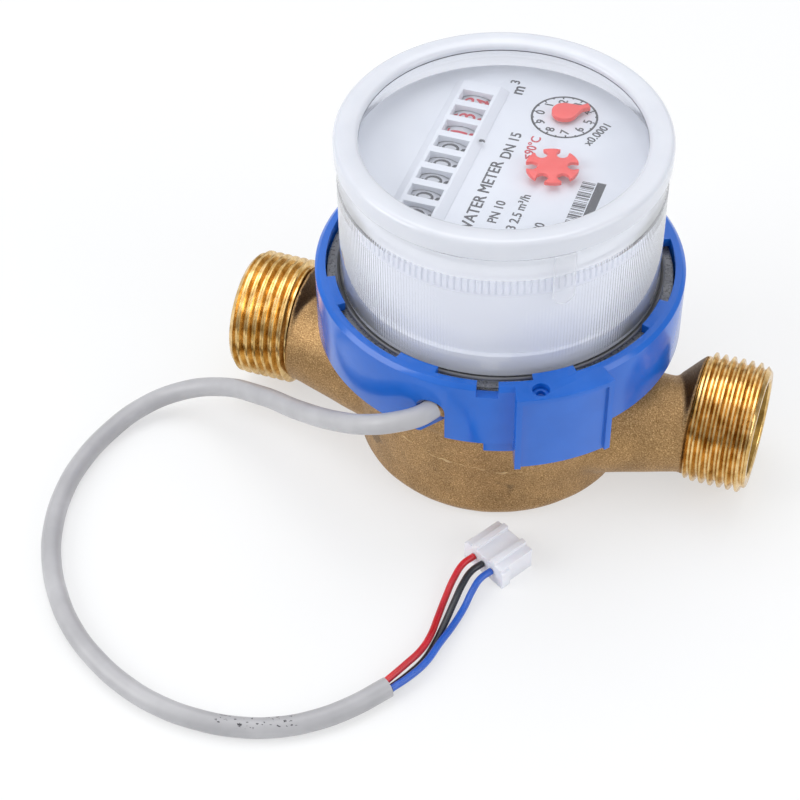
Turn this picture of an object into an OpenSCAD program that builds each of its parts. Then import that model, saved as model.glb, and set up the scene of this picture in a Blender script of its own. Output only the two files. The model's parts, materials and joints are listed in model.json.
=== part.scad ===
// Single-jet dry-dial water meter with a pulse lead.
// Frame: origin at the centre of the base underside, +Z up, +X along the pipe from inlet to outlet.

/* [Brass body] */
// Length between the two threaded end faces
body_l = 110; // [105:1:130]
// Height of the pipe axis above the base
flow_h = 15; // [14.5:0.1:16]
// Outside diameter of the end threads
thread_d = 26.44; // [25:0.02:28]
// Length of each threaded end
thread_l = 12.5; // [10:0.5:16]
// Chamfer at the mouth of each thread
thread_chamfer = 1.2; // [0.5:0.1:2]
// Length of the cone behind each thread
shoulder_l = 5; // [4:0.5:7]
// Diameter of the bore in each thread end
bore_d = 19.8; // [18:0.1:21]
// Depth of the bore in each thread end
bore_l = 13; // [8:0.5:14]
// Diameter of the jet passage from the bore to the chamber
jet_d = 12; // [9:0.5:13]
// Outside diameter of the duct where it leaves the shoulder
duct_d = 18.6; // [17.5:0.1:20]
// Outside diameter of the duct where it meets the bowl
duct_bowl_d = 22.6; // [21:0.1:25]
// Sideways shift of the duct where it leaves the shoulder
duct_shift = 3.4; // [2:0.1:4.5]
// Sideways shift of the duct where it meets the bowl
duct_bowl_shift = 6.4; // [5:0.1:8]
// Thickness of the bowl's wall round the seat
bowl_wall = 2.7; // [2.2:0.1:3.5]
// Taper of the bowl from its top to its base, on the radius
bowl_taper = 1.4; // [0.5:0.1:2.5]
// Radius of the fillet round the base
base_fillet = 4; // [2:0.5:5]
// Thickness of the bowl's floor
floor_t = 4; // [3.4:0.1:5]
// Width of the step between the chamber and the seat
seat_step = 3.5; // [2.5:0.1:4.5]
// Height of the impeller chamber
chamber_h = 23; // [22:0.5:26]
// Diameter of the seat above the chamber
seat_d = 55; // [50:0.5:60]
// Height of the seat above the chamber
seat_h = 10; // [9:0.5:12]
// Thickness of the body's flange
flange_t = 3.7; // [3:0.1:4.5]

/* [Impeller] */
// Gap between the blades and the chamber wall
impeller_gap = 2; // [1:0.1:4]
// Number of blades
blade_count = 7; // [5:1:10]
// Thickness of a blade
blade_t = 1.2; // [0.8:0.1:2]
// Height of the blades
blade_h = 14; // [10:0.5:15]
// Diameter of the impeller hub
hub_d = 10; // [8:0.5:12]
// Diameter of the pin that the impeller stands on
pin_d = 2; // [1.5:0.1:2.5]
// Outside diameter of the magnets
magnet_d = 16; // [14:0.5:18]
// Height of the magnets
magnet_h = 3.4; // [2.5:0.1:3.8]

/* [Sealing stack] */
// Thickness of the gasket on the body's flange
gasket_t = 0.8; // [0.5:0.1:1.2]
// Thickness of the pressure plate's flange
plate_flange_t = 3; // [2:0.1:4]
// Thickness of the pressure plate's floor
plate_floor_t = 2.5; // [2:0.1:3]
// Thickness of the pressure plate's cup wall
plate_wall = 2.7; // [2:0.1:3.2]
// Thickness of the steel shield ring
shield_t = 1; // [0.6:0.1:1.5]

/* [Clamp ring] */
// Thickness of the ring's wall
ring_wall = 1.95; // [1.6:0.05:2.6]
// Height of the ring
ring_h = 15.45; // [14.5:0.05:16]
// Thickness of the ring's top lip
ring_lip_t = 1.95; // [1.5:0.05:2.5]
// Height of the ring's lower lip
ring_low_lip_h = 3; // [2:0.1:3.2]
// Reach of the top lip's tabs inside the groove
tab_reach = 1.8; // [1.2:0.1:2]
// Number of notches in the top lip
notch_count = 8; // [6:1:10]
// Width of a notch, in degrees
notch_angle = 31; // [20:1:32]
// Gap round the clamped flanges
flange_gap = 0.4; // [0.3:0.1:0.6]
// Direction of the first notch's middle, in degrees
notch_dir = 12.5; // [8:0.5:17]
// Direction of the cut in the split ring's top lip, in degrees
split_dir = -76.2; // [-80:0.1:-74]
// Width of the cut in the split ring's top lip, in degrees
split_angle = 6.6; // [3:0.1:8]
// Direction of the lock box's middle, in degrees
box_dir = -54; // [-60:1:-48]
// Width of the lock box, in degrees
box_angle = 28; // [24:1:32]
// Reach of the lock box outside the ring
box_out = 3.25; // [2.5:0.05:4.5]
// Drop of the lock box below the ring
box_drop = 2.8; // [1:0.1:4]
// Width of the rims round the box's front face
box_rim = 1.2; // [0.8:0.1:2]
// Depth of the box's front panel behind its rims
box_panel = 0.6; // [0.3:0.1:1]
// Diameter of the lock pin
lock_pin_d = 3.2; // [2.4:0.1:3.4]
// Direction of the lock pin, in degrees
lock_pin_dir = -60.7; // [-62:0.1:-58]

/* [Hood] */
// Outside diameter of the hood's wall
hood_d = 62.6; // [62:0.1:63]
// Thickness of the hood's wall
hood_wall = 1.6; // [1.2:0.1:1.8]
// Width of the hood's foot flange outside its wall
hood_foot_w = 2.7; // [2.4:0.1:3.2]
// Thickness of the hood's foot flange
hood_foot_t = 1.5; // [1:0.1:1.8]
// Height of the dial above the hood's seat
dial_h = 27.7; // [26:0.1:32]
// Gap between the dial and the window
window_gap = 4.2; // [3.6:0.1:6]
// Thickness of the window
window_t = 1.5; // [1:0.1:2]
// Direction of the hood's tongue, in degrees
tongue_dir = -52; // [-90:1:0]
// Width of the hood's tongue
tongue_w = 4.2; // [3:0.1:5]
// Length of the hood's tongue below the bezel
tongue_l = 11.8; // [8:0.1:13]
// Height of the hood's smooth band below the bezel
smooth_band_h = 5.8; // [4:0.1:8]
// Outside diameter of the bezel
bezel_d = 63.44; // [63.1:0.02:64.5]
// Inside diameter of the bezel
bezel_in_d = 53.96; // [50:0.02:56]
// Height of the bezel
bezel_h = 4; // [3.4:0.1:5]
// Thickness of the bezel's top
bezel_t = 1.3; // [1:0.1:1.8]

/* [Register] */
// Outside diameter of the register drum
drum_d = 58; // [57:0.1:58.6]
// Wall of the register drum
drum_wall = 1.2; // [1:0.1:1.6]
// Gap round the register's lower cup
cup_gap = 0.5; // [0.3:0.1:1]
// Thickness of the register's floors
register_floor = 1.5; // [1.2:0.1:2]
// Thickness of the dial plate
dial_t = 1; // [0.8:0.1:1.4]
// Place of the star wheel along the pipe
star_x = 10; // [9.6:0.1:10.4]
// Place of the star wheel across the pipe
star_y = -1.4; // [-1.8:0.1:-1]
// Diameter of the star wheel
star_d = 10; // [8:0.1:11]
// Place of the pointer along the pipe
pointer_x = 7.4; // [7:0.1:7.8]
// Place of the pointer across the pipe
pointer_y = 15.6; // [15.2:0.1:16]
// Length of the pointer from its axis
pointer_l = 5.1; // [4:0.1:6]
// Direction of the pointer's hand, in degrees
pointer_dir = 38; // [0:1:359]

/* [Counter] */
// Number of red decimal wheels
decimal_count = 3; // [1:1:4]
// Diameter of a number wheel
wheel_d = 12; // [11:0.1:12.4]
// Width of a number wheel's face
wheel_w = 3.3; // [3:0.05:3.4]
// Spacing of the number wheels
wheel_pitch = 4.98; // [4.9:0.01:5]
// Place of the counter's axis across the dial
counter_x = -10.1; // [-10.6:0.1:-9.8]
// Place of the first wheel along the counter
counter_y = 14.75; // [14.5:0.05:15]
// Diameter of the shaft under the number wheels
number_shaft_d = 2; // [1.6:0.1:2.4]
// Diameter of the shaft under the carry pinions
pinion_shaft_d = 1.2; // [1:0.1:1.4]

/* [Lead] */
// Diameter of the sheath
sheath_d = 4; // [4:0.1:4.2]
// Diameter of a wire
wire_d = 1.4; // [1.2:0.1:1.6]
// Length of the plug
plug_l = 8.5; // [8:0.1:9]
// Width of the plug
plug_w = 10; // [9.6:0.1:11]
// Thickness of the plug
plug_t = 5.8; // [5.4:0.1:6.2]
// Spacing of the plug's contacts
plug_pitch = 2.5; // [2.4:0.1:2.6]

/* [Hidden] */
$fn = 96;
eps = 0.01;
run_gap = 0.05;
slide_gap = 0.3;

// Heights of the stack, from the base up
chamber_top = floor_t + chamber_h;
body_top = chamber_top + seat_h;
plate_seat = body_top + gasket_t;
shield_seat = plate_seat + plate_flange_t;
hood_seat = shield_seat + shield_t;
lip_low = hood_seat + hood_foot_t + 0.2;
ring_top = lip_low + ring_lip_t;
ring_low = ring_top - ring_h;
dial_z = hood_seat + dial_h;
window_low = dial_z + window_gap;
window_top = window_low + window_t;
bezel_top = window_top + slide_gap + bezel_t;
bezel_low = bezel_top - bezel_h;
hood_shoulder = bezel_low - 0.1;

// Radii that several pieces share
thread_r = thread_d / 2;
seat_r = seat_d / 2;
chamber_r = seat_r - seat_step;
bowl_r = seat_r + bowl_wall;
bowl_base_r = bowl_r - bowl_taper;
hood_r = hood_d / 2;
flange_r = hood_r + hood_foot_w;
groove_r = flange_r + flange_gap;
ring_r = groove_r + ring_wall;
tab_r = groove_r - tab_reach;
box_r = ring_r + box_out;
hood_step_r = hood_r - 1.3;
bezel_in_r = bezel_in_d / 2;
drum_r = drum_d / 2;
drum_in_r = drum_r - drum_wall;
plate_plug_r = seat_r - slide_gap;
plate_cup_r = plate_plug_r - plate_wall;
cup_r = plate_cup_r - cup_gap;
shield_in_r = cup_r + 2 * slide_gap;
band_r = bowl_r + 0.4;
band_h = 5;
low_lip_r = band_r + slide_gap;
notch_r = groove_r - 0.15;

// Ducts: one cone on each side, its axis leaning towards the front
thread_in_x = body_l / 2 - thread_l;
duct_x = thread_in_x - shoulder_l + 4;
duct_bowl_x = 25;
duct_lean = atan2(duct_bowl_shift - duct_shift, duct_x - duct_bowl_x);
duct_run = norm([duct_x - duct_bowl_x, duct_bowl_shift - duct_shift]);
duct_flare = (duct_bowl_d - duct_d) / 2 / duct_run;
duct_out = 3;
duct_in = duct_run + 9;

// Impeller stack
boss_h = 2;
boss_d = 8;
pin_sink = 2.5;
hub_low = floor_t + boss_h + 0.4;
pin_top = hub_low + 3;
blade_low = floor_t + 3.5;
spindle_d = 2.4;
spindle_top = chamber_top + 2;
magnet_top = chamber_top - 0.6;
magnet_low = magnet_top - magnet_h;
blade_r = chamber_r - impeller_gap;
plate_low = chamber_top + slide_gap;
cup_floor = plate_low + plate_floor_t;

// Lock box: pin, board and the lug beside it
box_low = ring_low - box_drop;
lock_pin_wall = 0.4;
lock_pin_r = box_r - box_panel - lock_pin_wall - lock_pin_d / 2 - run_gap;
lock_pin_at = lock_pin_r * [cos(lock_pin_dir), sin(lock_pin_dir)];
lock_pin_l = 12;
lock_pin_sink = 1;
lock_pin_low = ring_top - lock_pin_l - lock_pin_sink;
board_l = 8;
board_t = 1.6;
board_h = 9;
board_gap = 0.2;
board_low = box_low + 2;
board_r = box_r - 3;
board_dir = box_dir + 5;
lug_angle = 10;
lug_dir = box_dir - box_angle / 2 - 4;

// Register levels
register_low = cup_floor + slide_gap;
register_in = register_low + register_floor;
ledge = hood_seat + 2;
plate_t = 1.5;
works = ledge + plate_t;
dial_low = dial_z - dial_t;
bar_h = 1.2;
bar_x = [-15.5, -4.8];
bar_y = [-23.2, 19.4];
window_x = 6.2;

// Gears: teeth, levels and places
star_at = [star_x, star_y];
pointer_at = [pointer_x, pointer_y];
arbor_d = 1.6;
fine_arbor_d = 1.2;
gear_h = 2.2;
level_a = register_in + magnet_h + 1.4;
gear_space = 1.2;
level_b = works + 0.9;
level_c = level_b + gear_h + gear_space;
level_d = level_c + gear_h + gear_space;
follower_teeth = 12;
star_teeth = 28;
star_pinion_teeth = 10;
idler_teeth = 36;
idler_pinion_teeth = 10;
pointer_teeth = 38;
pointer_drive_teeth = 40;
worm_gear_teeth = 20;
worm_wheel_teeth = 20;
reach = norm(pointer_at - star_at);
idler_to_star = 9.2;
idler_to_pointer = 9.6;
idler_along = (pow(idler_to_star, 2) - pow(idler_to_pointer, 2) + pow(reach, 2)) / (2 * reach);
idler_off = sqrt(pow(idler_to_star, 2) - pow(idler_along, 2));
works_dir = (pointer_at - star_at) / reach;
idler_at = star_at + idler_along * works_dir + idler_off * [works_dir[1], -works_dir[0]];
function angle_of(v) = atan2(v[1], v[0]);
function gear_module(distance, a, b) = 2 * distance / (a + b);

// Counter: wheels on one shaft, carry pinions on another below it
wheel_count = 8;
wheel_proud = 0.1;
counter_z = dial_z + wheel_proud - wheel_d / 2;
carry_teeth = 20;
carry_module = 0.5;
pinion_teeth = 8;
carry_distance = carry_module * (carry_teeth + pinion_teeth) / 2;
carry_w = 0.7;
pinion_w = wheel_pitch - wheel_w - 0.18;
lock_r = carry_distance - carry_module * (pinion_teeth / 2 + 0.8) - 0.3;
pinion_z = counter_z - carry_distance;
worm_wheel_r = 4;
worm_r = 1.5;
worm_eccentric = 0.4;
worm_turns = 4;
worm_pitch = 2 * PI * worm_wheel_r / worm_wheel_teeth;
worm_wheel_w = 1.2;
worm_hub = 1.6;
worm_tip = 0.55;
worm_y = counter_y + wheel_w / 2 + worm_hub + worm_wheel_w / 2;
worm_at = [counter_x + worm_wheel_r + worm_r, worm_y];
follower_to_star = gear_module(norm(star_at), follower_teeth, star_teeth);
star_to_idler = gear_module(idler_to_star, star_pinion_teeth, idler_teeth);
idler_to_hand = gear_module(idler_to_pointer, idler_pinion_teeth, pointer_teeth);
hand_to_worm = gear_module(norm(worm_at - pointer_at), pointer_drive_teeth, worm_gear_teeth);
upright_t = 1.2;
upright_w = 5;
counter_end = counter_y - (wheel_count - 1) * wheel_pitch - wheel_w / 2;
upright_low_y = counter_end - 1.2 - upright_t;
upright_high_y = worm_y + worm_wheel_w / 2 + 3.6;
frame_h = 1.5;

// Lead: route of the sheath, laid by hand from the ring down to the base plane
sheath_r = sheath_d / 2;
wire_r = wire_d / 2;
outlet_gap = 0.35;
outlet_r = sheath_r + outlet_gap;
sheath_route = [
    [-1.5, -35.4, 37.4], [-3.6, -38.1, 37], [-7.6, -40.2, 36.1], [-12.4, -40.6, 34.2], [-20, -37.6, 29.4],
    [-31, -31.2, 22.4], [-43, -23.8, 15.7], [-54.5, -19.2, 10], [-64, -19.8, 6], [-71, -24.2, 3.2],
    [-75, -31.8, 2.1], [-76.8, -41, 2], [-76.6, -50, 2], [-74.4, -59.5, 2], [-70.8, -67.5, 2],
    [-65.4, -75.3, 2], [-59.2, -81.6, 2], [-51.8, -86.7, 2], [-44.2, -90.3, 2], [-36.6, -92.4, 2],
    [-28.4, -93, 2], [-20.4, -92.1, 2], [-13.6, -89.8, 2], [-7.6, -86.1, 2], [-2.2, -81, 2],
    [2.6, -74.7, 2]
];
plug_dir = 60;
plug_at = [12.6, -37.5];
wire_routes = [
    [[1.87, -74.01, 2.5], [4, -69.2, 2.4], [5.7, -64.7, 2.2], [6.2, -60.7, 1.9], [6, -56, 1.4],
     [5.9, -50.8, 1.6], [6.1, -46.3, 2.3], [6.81, -42.53, 2.8], [8.23, -40.06, 2.9]],
    [[2.67, -74.61, 1.2], [4.9, -70.2, 0.9], [6.6, -66, 0.8], [7.3, -61.6, 0.75], [7.7, -56.6, 1.2],
     [8, -51.3, 2.1], [8.3, -47.2, 2.7], [8.97, -43.78, 2.9], [10.4, -41.31, 2.9]],
    [[3.47, -75.21, 2.5], [5.8, -71.3, 2.4], [7.5, -67.2, 2.2], [8.5, -61.7, 1.9], [9.4, -56.9, 1.5],
     [10.1, -51.8, 1.5], [10.5, -48, 2.3], [11.14, -45.03, 2.8], [12.57, -42.56, 2.9]]
];
sheath_sides = 12;
wire_sides = 8;

brass = [0.62, 0.47, 0.25];
blue = [0.12, 0.36, 0.83];
white = [0.94, 0.95, 0.97];
clear = [0.85, 0.88, 0.92, 0.4];
coral = [0.94, 0.33, 0.3];
black = [0.06, 0.06, 0.07];
steel = [0.7, 0.71, 0.73];
grey = [0.7, 0.71, 0.73];

// Shared shapes

// A ring with a plain rectangular section
module ring(inner, outer, low, high) {
    translate([0, 0, low]) difference() {
        cylinder(r = outer, h = high - low);
        translate([0, 0, -1]) cylinder(r = inner, h = high - low + 2);
    }
}

// A flat sector of a ring, centred on a direction
module sector(inner, outer, direction, width) {
    steps = 12;
    arc = [for (i = [0:steps]) direction - width / 2 + width * i / steps];
    polygon(concat(
        [for (a = arc) outer * [cos(a), sin(a)]],
        [for (i = [steps:-1:0]) inner * [cos(arc[i]), sin(arc[i])]]
    ));
}

// A shape along the pipe axis, from x to x plus length
module along_pipe(x) {
    translate([x, 0, flow_h]) rotate([0, 90, 0]) children();
}

// Both ends of the pipe, mirrored about the middle
module both_ends() {
    children();
    mirror([1, 0, 0]) children();
}

// Outline of a spur gear with straight-sided teeth and a wide backlash
function gear_outline(teeth, module_mm) = let (
        pitch_r = module_mm * teeth / 2,
        tip_r = pitch_r + 0.75 * module_mm,
        root_r = pitch_r - 1.05 * module_mm,
        half = 90 / teeth * 0.78
    ) [for (i = [0:teeth - 1], k = [0:3]) let (
        a = 360 * i / teeth + [-1.35, -0.45, 0.45, 1.35][k] * half,
        r = (k == 0 || k == 3) ? root_r : tip_r
    ) r * [cos(a), sin(a)]];

module gear(teeth, module_mm, low, height, turn) {
    translate([0, 0, low]) rotate(turn) linear_extrude(height)
        polygon(gear_outline(teeth, module_mm));
}

// Sweep of a round cord along its route
function unit(v) = v / norm(v);
function heading(route, i) = unit(route[min(i + 1, len(route) - 1)] - route[max(i - 1, 0)]);
function cord_ring(centre, along, r, sides) = let (
        side = unit(cross(along, [0, 0, 1])),
        up = cross(side, along)
    ) [for (k = [0:sides - 1]) let (a = 360 * k / sides) centre + r * (cos(a) * side + sin(a) * up)];

module cord(route, r, sides) {
    last = len(route) - 1;
    points = [for (i = [0:last]) each cord_ring(route[i], heading(route, i), r, sides)];
    walls = [for (i = [0:last - 1], k = [0:sides - 1]) let (n = (k + 1) % sides)
        [i * sides + k, i * sides + n, (i + 1) * sides + n, (i + 1) * sides + k]];
    start_cap = [for (k = [sides - 1:-1:0]) k];
    end_cap = [for (k = [0:sides - 1]) last * sides + k];
    polyhedron(points, concat(walls, [start_cap, end_cap]), convexity = 8);
}

// Brass body

// Cone of one duct
module duct_cone() {
    translate([duct_x, -duct_shift, flow_h]) rotate([0, 0, 180 + duct_lean]) rotate([0, 90, 0])
        translate([0, 0, -duct_out])
            cylinder(r1 = duct_d / 2 - duct_out * duct_flare,
                     r2 = duct_d / 2 + duct_in * duct_flare, h = duct_in + duct_out);
}

module jet_passage() {
    jet_back = body_l / 2 - bore_l + 1 - duct_x;
    jet_front = duct_run + 8;
    translate([duct_x, -duct_shift, flow_h]) rotate([0, 0, 180 + duct_lean]) rotate([0, 90, 0])
        translate([0, 0, -jet_back]) cylinder(d = jet_d, h = jet_front + jet_back);
}

module thread_end() {
    along_pipe(thread_in_x) cylinder(r = thread_r, h = thread_l - thread_chamfer);
    along_pipe(body_l / 2 - thread_chamfer)
        cylinder(r1 = thread_r, r2 = thread_r - thread_chamfer, h = thread_chamfer);
    along_pipe(thread_in_x - shoulder_l)
        cylinder(r1 = duct_d / 2 - 1.6, r2 = thread_r - 0.4, h = shoulder_l);
}

module bowl() {
    band_low = ring_low - band_h;
    rotate_extrude() union() {
        polygon([
            [0, 0], [bowl_base_r - base_fillet, 0], [bowl_base_r, base_fillet], [bowl_r, band_low],
            [band_r, band_low + 0.4], [band_r, body_top - flange_t], [flange_r, body_top - flange_t],
            [flange_r, body_top], [0, body_top]
        ]);
        intersection() {
            translate([bowl_base_r - base_fillet, base_fillet]) circle(r = base_fillet);
            square([bowl_base_r, base_fillet]);
        }
    }
}

module brass_body() {
    color(brass) difference() {
        union() {
            bowl();
            both_ends() {
                duct_cone();
                thread_end();
            }
        }
        difference() {
            translate([0, 0, floor_t]) cylinder(r = chamber_r, h = body_top);
            translate([0, 0, floor_t - eps]) cylinder(d = boss_d, h = boss_h + eps);
        }
        translate([0, 0, chamber_top]) cylinder(r = seat_r, h = seat_h + 1);
        both_ends() {
            along_pipe(body_l / 2 - bore_l) cylinder(d = bore_d, h = bore_l + 1);
            jet_passage();
        }
        translate([0, 0, floor_t + boss_h - pin_sink]) cylinder(d = pin_d, h = pin_sink + 1);
    }
}

module inlet_strainer() {
    strainer_r = jet_d / 2 - slide_gap;
    strainer_l = 9;
    strainer_wall = 1;
    slot_w = 1.2;
    slot_count = 6;
    color(white) translate([-duct_x, -duct_shift, flow_h]) rotate([0, 0, -duct_lean]) rotate([0, 90, 0])
        translate([0, 0, -(body_l / 2 - bore_l - duct_x) + 1]) difference() {
            cylinder(r = strainer_r, h = strainer_l);
            translate([0, 0, -1]) cylinder(r = strainer_r - strainer_wall, h = strainer_l);
            for (i = [0:slot_count - 1]) rotate(360 * i / slot_count)
                translate([0, -slot_w / 2, 2]) cube([strainer_r + 1, slot_w, strainer_l - 4]);
        }
}

// Wet side

module impeller_pin() {
    low = floor_t + boss_h - pin_sink;
    color(steel) {
        translate([0, 0, low]) cylinder(d = pin_d, h = pin_top - pin_d / 4 - low);
        translate([0, 0, pin_top - pin_d / 4]) cylinder(r1 = pin_d / 2, r2 = pin_d / 6, h = pin_d / 4);
    }
}

module impeller() {
    color(white) difference() {
        union() {
            translate([0, 0, hub_low]) cylinder(d = hub_d, h = magnet_top - hub_low);
            translate([0, 0, magnet_top - eps]) cylinder(d = spindle_d, h = spindle_top - magnet_top);
            for (i = [0:blade_count - 1]) rotate(360 * i / blade_count)
                translate([hub_d / 2 - 0.5, -blade_t / 2, blade_low])
                    cube([blade_r - hub_d / 2 + 0.5, blade_t, blade_h]);
            translate([0, 0, magnet_low - 1.2]) cylinder(d = magnet_d, h = 1.2);
        }
        translate([0, 0, hub_low - 1]) cylinder(d = pin_d + 2 * run_gap, h = pin_top - hub_low + 1 + run_gap);
    }
}

module impeller_magnet() {
    color(black) ring(hub_d / 2, magnet_d / 2, magnet_low, magnet_top);
}

module flange_gasket() {
    color(black) ring(seat_r + 0.5, flange_r - 0.5, body_top, plate_seat);
}

module pressure_plate() {
    color(grey) difference() {
        union() {
            translate([0, 0, plate_low]) cylinder(r = plate_plug_r, h = shield_seat - plate_low);
            translate([0, 0, plate_seat]) cylinder(r = flange_r, h = plate_flange_t);
        }
        translate([0, 0, cup_floor]) cylinder(r = plate_cup_r, h = shield_seat);
        translate([0, 0, plate_low - 1])
            cylinder(d = spindle_d + 2 * run_gap, h = spindle_top - plate_low + 1.2);
    }
}

module shield_ring() {
    color([0.25, 0.26, 0.28]) ring(shield_in_r, flange_r, shield_seat, hood_seat);
}

// Clamp ring with its lock box

module ring_body() {
    soft = 0.8;
    rotate_extrude() polygon([
        [low_lip_r, ring_low], [ring_r - soft, ring_low], [ring_r, ring_low + soft],
        [ring_r, ring_top - soft], [ring_r - soft, ring_top], [tab_r, ring_top],
        [tab_r, lip_low], [groove_r, lip_low],
        [groove_r, ring_low + ring_low_lip_h], [low_lip_r, ring_low + ring_low_lip_h]
    ]);
}

module lock_box() {
    translate([0, 0, box_low]) linear_extrude(ring_top - box_low) difference() {
        intersection() {
            circle(r = box_r);
            sector(groove_r, box_r + 4, box_dir, box_angle);
        }
        circle(r = (groove_r + ring_r) / 2);
    }
}

module box_front() {
    rim_angle = box_rim / box_r * 180 / PI;
    translate([0, 0, box_low - 1]) linear_extrude(ring_top - box_low - box_rim + 1) difference() {
        sector(groove_r, box_r + 4, box_dir, box_angle - 2 * rim_angle);
        circle(r = box_r - box_panel);
    }
}

module board_place() {
    rotate(board_dir) translate([board_r, 0, board_low]) children();
}

// Slot with a round top where the lead leaves the ring, open at the ring's lower edge
module lead_outlet() {
    start = sheath_route[0];
    reach_in = 4;
    outlet_l = 10;
    translate([start[0], start[1], 0]) rotate(angle_of(sheath_route[1] - start)) {
        translate([-reach_in, 0, start[2]]) rotate([0, 90, 0]) cylinder(r = outlet_r, h = outlet_l);
        translate([-reach_in, -outlet_r, ring_low - 1])
            cube([outlet_l, 2 * outlet_r, start[2] - ring_low + 1]);
    }
}

// The openings in the top lip: one notch for each tab of the body's key, and the cut of the split ring
module lip_openings() {
    for (i = [0:notch_count - 1])
        translate([0, 0, lip_low - 1]) linear_extrude(ring_lip_t + 2) intersection() {
            circle(r = notch_r);
            sector(tab_r - 2, groove_r + 2, notch_dir + 360 * i / notch_count, notch_angle);
        }
    translate([0, 0, lip_low - 0.4]) linear_extrude(ring_lip_t + 1)
        sector(groove_r - 3, ring_r + 1, split_dir, split_angle);
}

module clamp_ring() {
    color(blue) difference() {
        union() {
            ring_body();
            lock_box();
            translate([0, 0, box_low + 1]) linear_extrude(box_drop)
                sector(low_lip_r + 0.5, ring_r - 0.6, lug_dir, lug_angle);
        }
        lip_openings();
        box_front();
        translate([lock_pin_at[0], lock_pin_at[1], lock_pin_low])
            cylinder(d = lock_pin_d + 2 * run_gap, h = lock_pin_l + lock_pin_sink + 1);
        lead_outlet();
        board_place() translate([-board_t / 2 - board_gap, -board_l / 2 - board_gap, -3])
            cube([board_t + 2 * board_gap, board_l + 2 * board_gap, board_h + board_gap + 3]);
    }
}

module lock_pin() {
    color(blue) translate([lock_pin_at[0], lock_pin_at[1], lock_pin_low]) difference() {
        cylinder(d = lock_pin_d, h = lock_pin_l);
        translate([0, 0, lock_pin_l - 1]) cylinder(d = lock_pin_d / 2, h = 2);
    }
}

module sensor_board() {
    color([0.1, 0.4, 0.2]) board_place() {
        translate([-board_t / 2, -board_l / 2, 0]) cube([board_t, board_l, board_h]);
    }
}

// Hood and bezel

module hood_seal() {
    seal_r = 0.5;
    color(black) rotate_extrude()
        translate([hood_r + seal_r, hood_seat + hood_foot_t + seal_r]) circle(r = seal_r, $fn = 24);
}

// Tongue on the hood's wall, round at its lower end
module hood_tongue() {
    tongue_t = 0.9;
    half_w = tongue_w / 2;
    arc_z = bezel_low - tongue_l + half_w;
    arc = [for (a = [180:15:360]) [half_w * cos(a), arc_z + half_w * sin(a)]];
    rotate(tongue_dir) translate([hood_r - tongue_t / 2, 0, 0]) rotate([90, 0, 90]) linear_extrude(tongue_t)
        polygon(concat(arc, [[half_w, bezel_low - 0.4], [-half_w, bezel_low - 0.4]]));
}

module hood() {
    inner_r = hood_r - hood_wall;
    foot_top = hood_seat + hood_foot_t;
    band_low = bezel_low - smooth_band_h;
    band_in = 0.25;
    color(clear) union() {
        rotate_extrude() polygon([
            [inner_r, hood_seat], [flange_r, hood_seat], [flange_r, foot_top], [hood_r, foot_top],
            [hood_r, band_low], [hood_r - band_in, band_low + band_in], [hood_r - band_in, hood_shoulder],
            [hood_step_r, hood_shoulder], [hood_step_r, window_top], [0, window_top], [0, window_low],
            [inner_r, window_low]
        ]);
        hood_tongue();
    }
}

module hood_bezel() {
    outer_r = bezel_d / 2;
    fit_r = hood_step_r + run_gap;
    seat_z = window_top + 0.1;
    round_r = 1.2;
    inner_cut = 0.5;
    color(white) rotate_extrude() union() {
        polygon([
            [bezel_in_r, seat_z], [fit_r, seat_z], [fit_r, bezel_low], [outer_r, bezel_low],
            [outer_r, bezel_top - round_r], [outer_r - round_r, bezel_top],
            [bezel_in_r + inner_cut, bezel_top], [bezel_in_r, bezel_top - inner_cut]
        ]);
        translate([outer_r - round_r, bezel_top - round_r]) intersection() {
            circle(r = round_r, $fn = 48);
            square(round_r);
        }
    }
}

// Register

module register_base() {
    color(white) difference() {
        union() {
            translate([0, 0, register_low]) cylinder(r = cup_r, h = ledge - register_low);
            translate([0, 0, hood_seat]) cylinder(r = drum_r, h = dial_low - hood_seat);
        }
        translate([0, 0, register_in]) cylinder(r = cup_r - drum_wall, h = dial_z - register_in);
        translate([0, 0, ledge]) cylinder(r = drum_in_r, h = dial_z - ledge);
        for (at = [[0, 0], star_at, idler_at]) translate([at[0], at[1], register_low - 1])
            cylinder(d = arbor_d + 2 * run_gap, h = register_floor + 2);
    }
}

module gear_plate() {
    color(white) translate([0, 0, ledge]) difference() {
        cylinder(r = drum_in_r - 0.2, h = plate_t);
        for (at = [[0, 0], star_at, idler_at, pointer_at, worm_at]) translate([at[0], at[1], -1])
            cylinder(d = arbor_d + 2 * run_gap, h = plate_t + 2);
    }
}

module number_bar() {
    slope = 1.6;
    rotate([90, 0, 0]) translate([0, 0, -bar_y[1]]) linear_extrude(bar_y[1] - bar_y[0])
        polygon([[bar_x[0], dial_low], [bar_x[0], dial_z + 0.2], [bar_x[0] + slope, dial_z + bar_h],
                 [bar_x[1] - slope, dial_z + bar_h], [bar_x[1], dial_z + 0.2], [bar_x[1], dial_low]]);
}

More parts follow.
